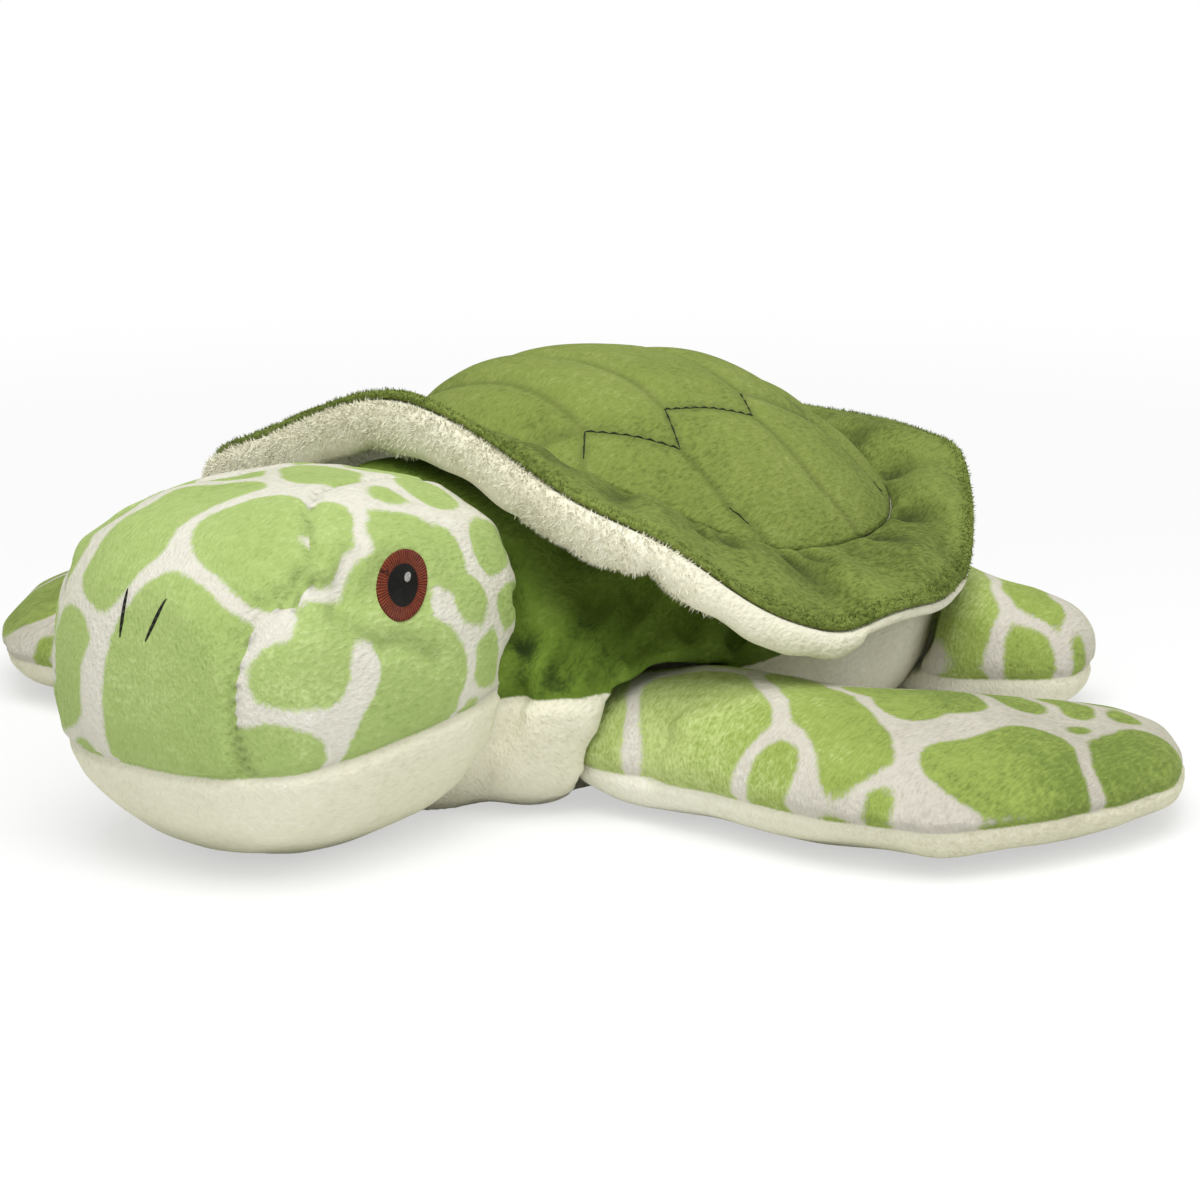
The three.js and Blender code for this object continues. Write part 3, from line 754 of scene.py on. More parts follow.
@dataclass
class StuffedPiece:
    """A padded cover that is cast over the frame's solids, puffed by a cloth simulation and sewn."""

    name: str
    nodes: list[str]
    body: str
    slot: str
    plush: Plush
    voxel: float = 3 * MM
    rounds: int = 6
    swell: float = 1.0 * MM
    cap: float = 2.0 * MM
    fill: float = 0.7
    held_width: float = 4 * MM
    seam_width: float = 1.6 * MM
    seam_depth: float = 1.2 * MM
    unevenness: float = 0.4 * MM
    wave: float = 30 * MM
    above_table: float = 0.1 * MM
    piece: bpy.types.Object | None = None
    rest: np.ndarray | None = None

    def cast(self) -> None:
        """Casts the cover and swells it back to its size before smoothing."""
        self.piece = cast(self.name, self.nodes, self.voxel, self.rounds)
        put(self.piece, places(self.piece) + outward(self.piece) * self.swell)

    def held(self, where: np.ndarray) -> np.ndarray:
        """Share by which each place is held by a seam while the cover puffs."""
        return np.zeros(len(where))

    def tighten(self) -> None:
        """Adds the cloth that puffs the cover."""
        self.rest = places(self.piece)
        group = self.piece.vertex_groups.new(name="held")
        for index, weight in enumerate(self.held(self.rest)):
            if weight > LEAST_HELD:
                group.add([index], float(weight), "REPLACE")
        cloth = self.piece.modifiers.new("puff", "CLOTH")
        for name, value in CLOTH.items():
            setattr(cloth.settings, name, value)
        cloth.settings.effector_weights.gravity = 0
        cloth.settings.vertex_group_mass = "held"
        cloth.point_cache.frame_start = 1
        cloth.point_cache.frame_end = CLOTH_FRAMES

    def settle(self) -> None:
        """Keeps the puffed shape, within its cap and above the table."""
        puffed = self.piece.evaluated_get(bpy.context.evaluated_depsgraph_get()).to_mesh()
        move = rows(puffed.vertices, "co") - self.rest
        self.piece.modifiers.clear()
        self.piece.vertex_groups.clear()
        length = np.linalg.norm(move, axis=1, keepdims=True)
        move *= np.minimum(1, self.cap / np.maximum(length, 1e-9))
        put(self.piece, self.rest + move)

    def relief(self, where: np.ndarray) -> np.ndarray:
        """Height of folds, seams and dimples at each place, in metres."""
        return ripple(where, self.wave, 3) * self.unevenness

    def sag(self, where: np.ndarray) -> np.ndarray:
        """Lets the stuffing settle; the plain piece keeps its shape."""
        return where

    def mark_up(self, where: np.ndarray) -> None:
        """Stores the seams and the print that the plush reads."""
        mark_plain(self.piece, ABOVE_SEAM)

    def sew(self) -> bpy.types.Object:
        """Refines the cover, presses its seams and folds in, and dresses it.

        Returns:
            The finished piece.
        """
        refined(self.piece)
        where = places(self.piece)
        where += outward(self.piece) * self.relief(where)[:, None]
        where = self.sag(where)
        where[:, 2] = np.maximum(where[:, 2], self.above_table)
        put(self.piece, where)
        self.mark_up(where)
        dressed(self.piece, self.plush.material(), self.body)
        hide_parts(*self.nodes)
        return self.piece


@dataclass
class Trunk(StuffedPiece):
    """The body between carapace and belly, with the round neck end."""

    seam_height: float = 33 * MM
    unevenness: float = 0.5 * MM
    loft: float = 0.6 * MM
    crease_depth: float = 3.8 * MM
    crease_width: float = 3.6 * MM
    crease_wander: float = 0.8 * MM
    slump: float = 4.5 * MM
    slumped_height: float = 26 * MM
    shoulder: tuple[float, float] = (0.055, -0.054)
    shoulder_ease: float = 1.8 * MM
    shoulder_width: float = 24 * MM
    creases: tuple[Run, ...] = (
        ((35, -83, 65), (40, -88, 52), (41, -89, 39)),
        ((44, -64, 55), (52, -79, 47), (50, -87, 37)),
        ((49, -53, 54), (56, -70, 47), (56, -79, 37)),
        ((57, -50, 52), (59, -60, 46), (60, -68, 42)),
        ((58, -37, 53), (60, -43, 49), (62, -49, 45)),
        ((65, -29, 44), (67, -35, 40)),
        ((28, -92, 62), (32, -97, 45)),
    )

    def held(self, where: np.ndarray) -> np.ndarray:
        """The side seam holds the cover."""
        return bell(where[:, 2] - self.seam_height, self.held_width)

    def folded(self, where: np.ndarray) -> np.ndarray:
        """How deep each place lies in a crease of the flanks, from 0 to 1.

        Args:
            where: vertex places in metres, one row each.

        Returns:
            One share for each place.
        """
        left = on_left(where)
        left[:, :2] += (ripple(where, self.wave, 11) * self.crease_wander)[:, None]
        return creased(left, self.creases, self.crease_width)

    def relief(self, where: np.ndarray) -> np.ndarray:
        """Creases in the flanks, a groove along the side seam and room at the shoulders.

        Args:
            where: vertex places in metres, one row each.

        Returns:
            One height for each place, in metres.
        """
        groove = bell(where[:, 2] - self.seam_height, self.seam_width) * self.seam_depth
        creases = self.folded(where) * self.crease_depth
        from_shoulder = np.linalg.norm(on_left(where)[:, :2] - np.array(self.shoulder), axis=1)
        creases += bell(from_shoulder, self.shoulder_width) * self.shoulder_ease
        return ripple(where, self.wave, 5) * self.unevenness + self.loft - creases - groove

    def sag(self, where: np.ndarray) -> np.ndarray:
        """Lets the belly settle down onto the table."""
        where[:, 2] -= self.slump * (1 - ramp(where[:, 2], 0, self.slumped_height))
        return where

    def mark_up(self, where: np.ndarray) -> None:
        """The seam parts the dark green back from the cream belly; above it the creases get painted shade and
        the ridges painted light.

        Args:
            where: vertex places in metres, one row each.
        """
        super().mark_up(where)
        folds = self.folded(where)
        over_seam = ramp(where[:, 2], self.seam_height, self.seam_height + 4 * MM)
        mark(self.piece, "seam", (where[:, 2] - self.seam_height) / MM + ripple(where, 0.05, 61) * 0.5)
        # Painted shade in the creases and painted light on the ridges between them, with a little random tone,
        # above the seam only.
        mark(self.piece, "shade", folds**2 * 0.65 * over_seam)
        mark(self.piece, "lit", (0.16 - folds * 0.5 + ripple(where, 0.02, 67) * 0.02) * over_seam)


@dataclass
class Head(StuffedPiece):
    """The head: a gusset between two cheeks above a cream chin."""

    centre: Point = (0.0, -0.129, 0.04375)
    length: float = 0.111
    width: float = 0.09
    chin_seam: float = 33.5 * MM
    chin_rise: float = 9 * MM
    seam_width: float = 1.4 * MM
    seam_depth: float = 1.6 * MM
    gusset_seam_width: float = 1.5 * MM
    gusset_held_width: float = 3 * MM
    stitch: float = 3.2 * MM
    eye_dent: Point = (0.0445, -0.1355, 0.0695)
    eye_dent_width: float = 10 * MM
    inner_dent: Point = (0.040, -0.149, 0.069)
    inner_dent_width: float = 6 * MM
    dent_depth: float = 2 * MM
    brow_reach: float = 13 * MM
    brow_width: float = 4 * MM
    brow_height: float = 1.8 * MM
    brow_starts: float = 62 * MM
    brow_full: float = 74 * MM
    wrinkle_width: float = 2.6 * MM
    wrinkle_depth: float = 2.2 * MM
    gusset_print: PatchPrint = GUSSET_PRINT
    cheek_print: PatchPrint = CHEEK_PRINT
    gusset_shares: Line = (
        *((-1, 0.62), (0, 0.62), (0.1, 0.68), (0.18, 0.79), (0.25, 0.75)),
        *((0.36, 0.48), (0.46, 0.32), (1, 0.3), (2, 0.3)),
    )
    wrinkles: tuple[Run, ...] = (
        ((33, -160, 75), (36, -157, 73), (38, -153, 72)),
        ((39, -154, 68), (38, -149, 76), (36, -144, 80)),
        ((40, -155, 66), (42, -152, 62), (44, -144, 57), (44, -137, 57), (44, -127, 51)),
    )

    def gusset_edge(self, where: np.ndarray) -> np.ndarray:
        """Distance in plan outside the gusset's seams, negative on the gusset.

        Args:
            where: vertex places in metres, one row each.

        Returns:
            One distance for each place, in metres.
        """
        share = (where[:, 1] - self.centre[1]) / self.length + 0.5
        table = np.array(self.gusset_shares)
        half = np.interp(share, table[:, 0], table[:, 1]) * self.width / 2
        ahead, behind = (np.interp(share + step, table[:, 0], table[:, 1]) for step in (0.02, -0.02))
        lean = (ahead - behind) / 0.04 * self.width / 2 / self.length
        return (np.abs(where[:, 0]) - half) / np.sqrt(1 + lean**2)

    def above_chin(self, where: np.ndarray) -> np.ndarray:
        """Height above the chin's seam."""
        slope = self.chin_rise / self.length
        return where[:, 2] - self.chin_seam - slope * (where[:, 1] - self.centre[1])

    def held(self, where: np.ndarray) -> np.ndarray:
        """The seams of the gusset and the chin hold the cover.

        Args:
            where: vertex places in metres, one row each.

        Returns:
            One share for each place.
        """
        above = self.above_chin(where)
        beside = bell(self.gusset_edge(where), self.gusset_held_width) * ramp(above, 0, self.held_width)
        return np.maximum(beside, bell(above, self.held_width))

    def relief(self, where: np.ndarray) -> np.ndarray:
        """Grooves along the seams and dents where the eyes are sewn.

        Args:
            where: vertex places in metres, one row each.

        Returns:
            One height for each place, in metres.
        """
        above = self.above_chin(where)
        pulls = 1 + 0.3 * self.stitch_wave(where)
        beside = bell(self.gusset_edge(where), self.gusset_seam_width) * ramp(above, -1 * MM, 3 * MM)
        seams = beside * pulls + bell(above, self.seam_width)
        left = on_left(where)
        eye = np.linalg.norm(left - np.array(self.eye_dent), axis=1)
        inner = np.linalg.norm(left - np.array(self.inner_dent), axis=1)
        dents = (bell(eye, self.eye_dent_width) + bell(inner, self.inner_dent_width)) * self.dent_depth
        folds = creased(left, self.wrinkles, self.wrinkle_width) * self.wrinkle_depth
        ring = bell(np.abs(eye - self.brow_reach), self.brow_width)
        brow = ring * ramp(left[:, 2], self.brow_starts, self.brow_full) * self.brow_height
        return ripple(where, self.wave, 23) * self.unevenness + brow - seams * self.seam_depth - dents - folds

    def stitch_wave(self, where: np.ndarray) -> np.ndarray:
        """Wave from -1 to 1 that follows the stitches along the gusset's seams."""
        return np.cos((where[:, 2] - where[:, 1]) / self.stitch * 2 * math.pi)

    def mark_up(self, where: np.ndarray) -> None:
        """The chin is cream; the gusset and each cheek have their own run of the print, with painted shade
        along the gusset's seams and in the wrinkles.

        Args:
            where: vertex places in metres, one row each.
        """
        super().mark_up(where)
        edge = self.gusset_edge(where)
        mark(self.piece, "seam", self.above_chin(where) / MM)
        mark(self.piece, "patch", np.clip(self.gusset_print.inside(where / MM), -4, 4))
        mark(self.piece, "cheek", np.clip(self.cheek_print.inside(on_left(where) / MM), -4, 4))
        mark(self.piece, "edge", edge / MM)
        # Painted shade: dashes where the stitches pull the gusset's seams in, and a little in the wrinkles.
        dashes = 0.5 + 0.5 * self.stitch_wave(where)
        stitches = bell(edge, 0.8 * MM) * ramp(self.above_chin(where), 0, 2 * MM) * dashes * 0.45
        folds = creased(on_left(where), self.wrinkles, self.wrinkle_width)
        mark(self.piece, "shade", stitches + folds * 0.15)


@dataclass
class Flipper(StuffedPiece):
    """A paddle with a printed top and a cream underside."""

    shoulder: tuple[float, float] = (0.055, -0.054)
    side: int = 1
    sweep: float = 36
    seam_height: float = 13 * MM
    held_width: float = 2.5 * MM
    seam_width: float = 1.3 * MM
    seam_depth: float = 1.1 * MM
    unevenness: float = 0.7 * MM
    wave: float = 35 * MM
    patches: PatchPrint = FRONT_PRINT
    # Painted light near the shoulder and painted shade towards the tip, carried in the lit attribute.
    painted_light_at_root: float = 0.28
    painted_shade_to_tip: float = 0.5
    painted_shade_full_at: float = 85

    def own(self, where: np.ndarray) -> np.ndarray:
        """Places in the flipper's own frame, along it from the shoulder, in millimetres.

        Args:
            where: vertex places in metres, one row each.

        Returns:
            Places along and across the flipper, with no height.
        """
        turn = math.radians(self.sweep)
        x = (where[:, 0] - self.side * self.shoulder[0]) * self.side
        y = where[:, 1] - self.shoulder[1]
        along = x * math.cos(turn) + y * math.sin(turn)
        across = -x * math.sin(turn) + y * math.cos(turn)
        return np.stack([along, across, np.zeros(len(where))], axis=1) / MM

    def held(self, where: np.ndarray) -> np.ndarray:
        """The edge seam holds the cover."""
        return bell(where[:, 2] - self.seam_height, self.held_width)

    def relief(self, where: np.ndarray) -> np.ndarray:
        """A groove along the edge seam, and soft dimples in the top."""
        groove = bell(where[:, 2] - self.seam_height, self.seam_width) * self.seam_depth
        return ripple(where, self.wave, 7 + self.side) * self.unevenness - groove

    def mark_up(self, where: np.ndarray) -> None:
        """The print runs along the paddle above the edge seam.

        Args:
            where: vertex places in metres, one row each.
        """
        super().mark_up(where)
        mark(self.piece, "seam", (where[:, 2] - self.seam_height) / MM)
        own = self.own(where)
        mark(self.piece, "patch", self.patches.inside(own))
        # Painted light at the root that fades to painted shade towards the tip.
        mark(self.piece, "lit", self.painted_light_at_root - self.painted_shade_to_tip * ramp(own[:, 0], 0, self.painted_shade_full_at))


# Carapace


@dataclass
class Carapace:
    """The quilted dome, its gathered rim and the cream lining with its rolled hem."""

    dome_length: float = 158 * MM
    dome_width: float = 128 * MM
    dome_y: float = 10 * MM
    summit_y: float = -24 * MM
    top: float = 103 * MM
    body_height: float = 62 * MM
    roll: float = 1
    rim_reach: float = 103 * MM
    cloth: float = 2 * MM
    gap: float = 0.3 * MM
    channel: float = 1.6 * MM
    channel_width: float = 3.6 * MM
    scute_width: float = 9 * MM
    scute_swell: float = 0.9 * MM
    dome_unevenness: float = 0.35 * MM
    pleat_count: int = 26
    pleat_width_shares: tuple[float, float] = (0.005, 0.010)
    pleat_depths: tuple[float, float] = (1.6 * MM, 4.6 * MM)
    pleat_reach_shares: tuple[float, float] = (0.4, 0.9)
    rim_swell: float = 3.6 * MM
    rim_folds: float = 1.6 * MM
    rim_waves: float = 2.5 * MM
    rim_unevenness: float = 0.7 * MM
    seam_roll: float = 0.8 * MM
    # Painted shade that darkens the rim's moss plush against the dome's, which is the same fabric.
    rim_painted_shade: float = -0.14
    hem: float = 11.5 * MM
    lining: float = 2.2 * MM
    pinched: float = 0.128
    thread: float = 0.44 * MM
    thread_step: float = 0.8 * MM
    thread_stitch: float = 3 * MM
    thread_rise: float = 0.03 * MM
    thread_dip: float = 0.22 * MM
    head_room: float = 7 * MM
    fluff: Fluff = Fluff(24000)
    edge_fluff: Fluff = Fluff(14000, 1.2 * MM, 0.3 * MM, 81)
    around: int = 480
    head: bpy.types.Object | None = None
    outline: tuple[Disc, ...] = (
        (0, 0.96, 0.99, 0.863),
        (22, 1.01, 0.905, 0.824),
        (38, 1.1, 0.74, 0.74),
        (55, 1.05, 0.565, 0.645),
        (73, 0.95, 0.465, 0.575),
        (92, 0.9, 0.455, 0.55),
        (126, 0.875, 0.51, 0.54),
        (155, 0.965, 0.63, 0.58),
        (180, 1.0, 0.68, 0.627),
    )
    line_shares: tuple[Line, ...] = (
        ((0.31, -0.95), (0.436, -0.742), (0.65, -0.467), (0.506, -0.394), (0.602, -0.015)),
        ((0.602, -0.015), (0.469, 0.063), (0.516, 0.405), (0.375, 0.481), (0.31, 0.95)),
        ((0.436, -0.742), (0.53, -0.85)),
        ((0.65, -0.467), (0.84, -0.405), (0.95, -0.3)),
        ((0.602, -0.015), (0.84, 0.08), (0.97, 0.2)),
        ((0.516, 0.405), (0.72, 0.58), (0.77, 0.64)),
    )
    thread_shares: tuple[Line, ...] = (
        ((0.53, -0.85), (0.436, -0.742), (0.65, -0.467), (0.506, -0.394), (0.602, -0.015), (0.469, 0.063)),
        ((0.84, -0.405), (0.95, -0.3)),
        ((0.72, 0.58), (0.77, 0.64)),
    )
    cross_shares: tuple[Point, ...] = (
        (0.436, -0.742, -0.7),
        (0.506, -0.394, -0.35),
        (0.469, 0.063, 0.1),
        (0.375, 0.481, 0.52),
    )

    def rolled(self, points: np.ndarray) -> np.ndarray:
        """Tips level points to the carapace's slight roll.

        Args:
            points: places in metres, one row each.

        Returns:
            The tipped places.
        """
        turn = math.radians(self.roll)
        x = points[:, 0]
        z = points[:, 2] - self.body_height
        across = x * math.cos(turn) + z * math.sin(turn)
        upward = -x * math.sin(turn) + z * math.cos(turn) + self.body_height
        return np.stack([across, points[:, 1], upward], axis=1)

    def knots(self, of_edge: bool) -> np.ndarray:
        """Points of the rim's edge or the dome's seam, once round.

        Args:
            of_edge: the rim's edge, or else the dome's seam.

        Returns:
            One row for each point.
        """
        rows = [(r, 1) for r in self.outline] + [(r, -1) for r in reversed(self.outline[1:-1])]
        found = []
        for (angle, reach, edge_height, seam_height), side in rows:
            turn = math.radians(angle)
            across, along = math.sin(turn), math.cos(turn)
            if of_edge:
                out, height = reach * self.rim_reach, edge_height * self.top
            else:
                out = 1 / math.hypot(across * 2 / self.dome_width, along * 2 / self.dome_length)
                height = seam_height * self.top
            found.append((side * across * out, self.dome_y - along * out, height))
        return self.rolled(np.array(found))

    @staticmethod
    def along_curve(knots: np.ndarray, turns: np.ndarray) -> np.ndarray:
        """Smooth closed curve through knots.

        Args:
            knots: the points that it passes.
            turns: places on it as shares of a turn.

        Returns:
            One point for each place.
        """
        count = len(knots)
        place = turns * count
        first = np.floor(place).astype(int)
        w = (place - first)[:, None]
        p0, p1, p2, p3 = (knots[(first + k) % count] for k in (-1, 0, 1, 2))
        spans = (p1 - p0, p2 - p1, p3 - p2)
        d0, d1, d2 = (np.sqrt(np.linalg.norm(span, axis=1, keepdims=True)) for span in spans)
        t1 = ((p1 - p0) / d0 - (p2 - p0) / (d0 + d1) + (p2 - p1) / d1) * d1
        t2 = ((p2 - p1) / d1 - (p3 - p1) / (d1 + d2) + (p3 - p2) / d2) * d1
        return p1 + t1 * w + (3 * (p2 - p1) - 2 * t1 - t2) * w**2 + (2 * (p1 - p2) + t1 + t2) * w**3

    def seam(self, turns: np.ndarray) -> np.ndarray:
        """The dome's seam at shares of a turn."""
        return self.along_curve(self.knots(False), turns)

    def edge(self, turns: np.ndarray) -> np.ndarray:
        """The rim's edge at shares of a turn."""
        return self.along_curve(self.knots(True), turns)

    def lines(self) -> list[np.ndarray]:
        """Every sewn line of the quilting in plan, in metres."""
        across = [((-x, y), (0, ahead), (x, y)) for x, y, ahead in self.cross_shares]
        return self.mirrored(self.line_shares) + [self.in_plan(line) for line in across]

    def in_plan(self, line: Line) -> np.ndarray:
        """A line of shares of the dome as places in plan."""
        half = np.array([self.dome_width, self.dome_length]) / 2
        return np.array([0, self.dome_y]) + np.array(line) * half

    def mirrored(self, lines: tuple[Line, ...]) -> list[np.ndarray]:
        """Lines of the left half, with their twins in the right half."""
        left = [self.in_plan(line) for line in lines]
        return [*left, *[line * np.array([-1, 1]) for line in left]]

    def from_lines(self, plan: np.ndarray) -> np.ndarray:
        """Distance in plan from the nearest sewn line."""
        return np.min([from_run(plan, line) for line in self.lines()], axis=0)

    def dome_loop(self, turns: np.ndarray, share: float) -> np.ndarray:
        """One loop over the dome's upper face.

        Args:
            turns: places round it as shares of a turn.
            share: how far out from the summit.

        Returns:
            One point for each place.
        """
        seam = self.seam(turns)
        summit = np.array([0, self.summit_y, self.top])
        reach = (seam - summit)[:, :2]
        out = np.linalg.norm(reach, axis=1, keepdims=True)
        plan = summit[:2] + reach * share * (out - self.gap) / out
        rise = (1 - share**2.4) ** 0.9
        near = self.from_lines(plan)
        crown = (1 - bell(near, self.scute_width)) * self.scute_swell
        crown -= bell(near, self.channel_width) * self.channel
        fade = min(1.0, (1 - share) * 9) * (1 - 0.25 * share)
        height = seam[:, 2] + rise * (self.top - seam[:, 2]) + crown * fade
        rough = ripple(np.column_stack([plan, height]), 0.05, 31) * self.dome_unevenness * fade
        return np.column_stack([plan, height + rough])

    def under_height(self, seam: np.ndarray, share: float) -> np.ndarray:
        """Height of the lining's upper face between the middle and the seam.

        Args:
            seam: points of the dome's seam.
            share: how far out from the middle.

        Returns:
            One height for each point.
        """
        middle = self.body_height + self.gap + self.lining
        at_seam = seam[:, 2] - self.cloth - self.gap
        return middle + (at_seam - middle) * share**2

    def pleats(self, turns: np.ndarray, share: float) -> np.ndarray:
        """Depth of the gathers that run out from the dome's seam.

        Args:
            turns: places round the seam as shares of a turn.
            share: how far out towards the edge.

        Returns:
            One depth for each place, in metres.
        """
        chance = np.random.default_rng(41)
        total = np.zeros(len(turns))
        for k in range(self.pleat_count):
            middle = (k + chance.uniform(-0.35, 0.35)) / self.pleat_count
            width = chance.uniform(*self.pleat_width_shares)
            depth = chance.uniform(*self.pleat_depths)
            reach = chance.uniform(*self.pleat_reach_shares)
            far = np.abs((turns - middle + 0.5) % 1 - 0.5)
            run = max(0.0, 1 - share / reach) ** 0.6 if share < reach else 0.0
            total += bell(far, width * (1 + share)) * depth * run * min(1.0, share * 7 + 0.12)
        return total

    def rim_loop(self, turns: np.ndarray, share: float) -> np.ndarray:
        """One loop over the rim's green face, from the seam at 0 to the edge at 1.

        Args:
            turns: places round it as shares of a turn.
            share: how far out towards the edge.

        Returns:
            One point for each place.
        """
        seam, edge = self.seam(turns), self.edge(turns)
        place = seam + (edge - seam) * share
        angle = 2 * math.pi * turns
        swell = math.sin(math.pi * share)
        lift = swell * (self.rim_swell + self.rim_folds * np.cos(15 * angle))
        lift += self.rim_waves * np.cos(7 * angle) * share**2
        lift += self.seam_roll * bell(share - 0.1, 0.07) - self.pleats(turns, share)
        place[:, 2] += lift + ripple(place, 0.04, 17) * self.rim_unevenness * share
        return place

    def sunk(self, where: np.ndarray, turns: np.ndarray) -> np.ndarray:
        """How deep each vertex of the rim lies in a gather, from 0 to 1.

        Args:
            where: the rim's vertices, loop after loop of as many as the turns.
            turns: places round each loop as shares of a turn.

        Returns:
            One share for each vertex.
        """
        seam, edge = self.seam(turns), self.edge(turns)
        column = np.arange(len(where)) % len(turns)
        span = (edge - seam)[column]
        share = np.clip(((where - seam[column]) * span).sum(axis=1) / (span * span).sum(axis=1), 0, 1)
        depths = np.zeros(len(where))
        for level in range(20):
            band = np.abs(share * 20 - level) <= 0.5
            depths[band] = self.pleats(turns, level / 20)[column[band]]
        return np.clip(depths / (3.5 * MM), 0, 1)

    def outwards(self, turns: np.ndarray) -> np.ndarray:
        """Level direction out of the rim at shares of a turn."""
        span = (self.edge(turns) - self.seam(turns)) * np.array([1, 1, 0])
        return span / np.linalg.norm(span, axis=1, keepdims=True)

    def skin(self, name: str, loops: list[np.ndarray], closed: bool) -> bpy.types.Object:
        """Closed skin through loops of as many points each.

        Args:
            name: the piece's name.
            loops: the loops in order.
            closed: whether the last loop joins the first, or both ends close to a point.

        Returns:
            The new piece.
        """
        count = len(loops[0])
        strips = len(loops) if closed else len(loops) - 1
        faces = []
        for i in range(strips):
            here, after = i * count, (i + 1) % len(loops) * count
            for j in range(count):
                k = (j + 1) % count
                faces.append((here + j, after + j, after + k, here + k))
        mesh = bpy.data.meshes.new(name)
        mesh.from_pydata(np.concatenate(loops).tolist(), [], faces)
        piece = added(name, mesh)
        joined = bmesh.new()
        joined.from_mesh(mesh)
        bmesh.ops.remove_doubles(joined, verts=joined.verts, dist=1e-6)
        bmesh.ops.recalc_face_normals(joined, faces=joined.faces)
        joined.to_mesh(mesh)
        joined.free()
        return piece

    def turns(self) -> np.ndarray:
        """Shares of a turn at which the loops have points."""
        return np.arange(self.around) / self.around

    def sewn(self, piece: bpy.types.Object, nodes: list[str], fill: float, plush: Plush) -> bpy.types.Object:
        """Dresses a finished part of the carapace and hides the solids that it stands for.

        Args:
            piece: the part, in place and marked.
            nodes: the solids that it stands for.
            fill: how full of padding it is; not used.
            plush: its cloth.

        Returns:
            The part.
        """
        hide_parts(*nodes)
        return dressed(piece, plush.material(), "trunk")

    @staticmethod
    def slot_of(plush: Plush) -> str:
        """The material slot of the carapace's green or cream plush."""
        return "moss_plush" if plush.above is Dye.MOSS else "cream_plush"

    def make_dome(self) -> bpy.types.Object:
        """Makes the quilted dome over its filling.

        Returns:
            The finished dome.
        """
        turns = self.turns()
        summit = np.array([0, self.summit_y])
        seam = self.seam(turns)
        shares = [0.001, *np.linspace(0.02, 0.94, 58), 0.955, 0.97, 0.982, 0.992, 1.0]
        loops = [self.dome_loop(turns, float(s)) for s in shares]
        for share in (0.97, 0.6, 0.3, 0.002):
            plan = summit + (seam[:, :2] - summit) * share
            loops.append(np.column_stack([plan, self.under_height(seam, share) + self.gap]))
        piece = self.skin("quilted_dome", loops, False)
        # Painted shade along every quilted line, where the channels sink.
        mark_plain(piece, ABOVE_SEAM, bell(self.from_lines(places(piece)[:, :2]), 1.4 * MM) * 0.3)
        cloth = Plush("moss_quilting", Dye.MOSS, Dye.CREAM, sheen=0.16)
        return self.sewn(piece, ["quilted_carapace", "carapace_filling"], 0.8, cloth)

    def make_rim(self) -> None:
        """Makes the green skirt of the carapace, folded round at its edge, and the pile along it."""
        turns = self.turns()
        shares = np.concatenate([np.linspace(0, 0.3, 14), np.linspace(0.33, 1.0, 26)])
        upper = [self.rim_loop(turns, float(s)) for s in shares]
        bulge = [upper[-1] + self.outwards(turns) * out + UP * drop for out, drop in self.folded_round()]
        lower = [loop - UP * self.cloth for loop in reversed(upper[::2] + [upper[-1]])]
        piece = self.skin("gathered_rim", [*upper, *bulge, *lower], True)
        # Painted shade in the gathers, deepest where they sink most.
        mark_plain(piece, ABOVE_SEAM, self.sunk(places(piece), turns) ** 1.3 * 0.8)
        # Painted shade over the whole rim, through the lit attribute.
        mark(piece, "lit", np.full(len(piece.data.vertices), self.rim_painted_shade))
        self.make_edge_fluff(piece, turns)
        self.sewn(piece, ["carapace_rim"], 0.2, Plush("moss_rim", Dye.MOSS, Dye.CREAM, sheen=0.12))

    def make_edge_fluff(self, piece: bpy.types.Object, turns: np.ndarray) -> None:
        """The green pile that stands out along the rim's edge.

        Args:
            piece: the rim, in place, with loop after loop of as many vertices as the turns.
            turns: places round each loop as shares of a turn.
        """
        where = places(piece)
        edge = self.edge(turns)[np.arange(len(where)) % len(turns)]
        out = np.linalg.norm((where - edge)[:, :2], axis=1)
        weights = ramp(-out, -3.5 * MM, -1 * MM) * ramp(outward(piece)[:, 2], -0.8, -0.3)
        weights *= self.off_head(where)
        fluff = self.edge_fluff.grown("rim_fluff", piece, weights + 1e-9)
        mark_plain(fluff, ABOVE_SEAM)
        # The rim's painted shade on its edge pile too.
        mark(fluff, "lit", np.full(len(fluff.data.vertices), self.rim_painted_shade))
        self.grown_on(fluff, Plush("moss_edge", Dye.MOSS, Dye.CREAM, sheen=0.12))

    def grown_on(self, fluff: bpy.types.Object, plush: Plush) -> None:
        """Dresses slivers of pile, which stand for no solid, and lets them ride with the trunk.

        Args:
            fluff: the slivers, marked.
            plush: their cloth.
        """
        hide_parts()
        fluff.data.materials.append(plush.material())
        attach(fluff, "trunk")
        log.info("%s: %d faces, rides on trunk", fluff.name, len(fluff.data.polygons))

    def folded_round(self) -> list[tuple[float, float]]:
        """Steps out and down by which the rim's cloth folds round its edge."""
        turns = [math.radians(angle) for angle in (45, 90, 135)]
        return [(math.sin(t) * self.cloth / 2, (math.cos(t) - 1) * self.cloth / 2) for t in turns]

    def hem_depth(self, turns: np.ndarray, share: float) -> np.ndarray:
        """Thickness of the lining: a fat roll in front that thins to plain cloth behind.

        Args:
            turns: places round the hem as shares of a turn.
            share: how far out towards the edge.

        Returns:
            One thickness for each place, in metres.
        """
        angle = 2 * math.pi * turns
        front = np.maximum(0, np.cos(angle)) ** 0.5
        roll = math.sin(math.pi * share**3 / 2)
        lumps = 1 + 0.05 * np.sin(angle * 23) + 0.04 * np.sin(angle * 41 + 1)
        pinch = 1 - 0.28 * bell(turns - self.pinched, 0.006) - 0.28 * bell(turns - (1 - self.pinched), 0.006)
        fat = (self.hem - self.lining) * front * roll * lumps + (0.4 + front) * MM * roll
        return (self.lining + fat) * pinch

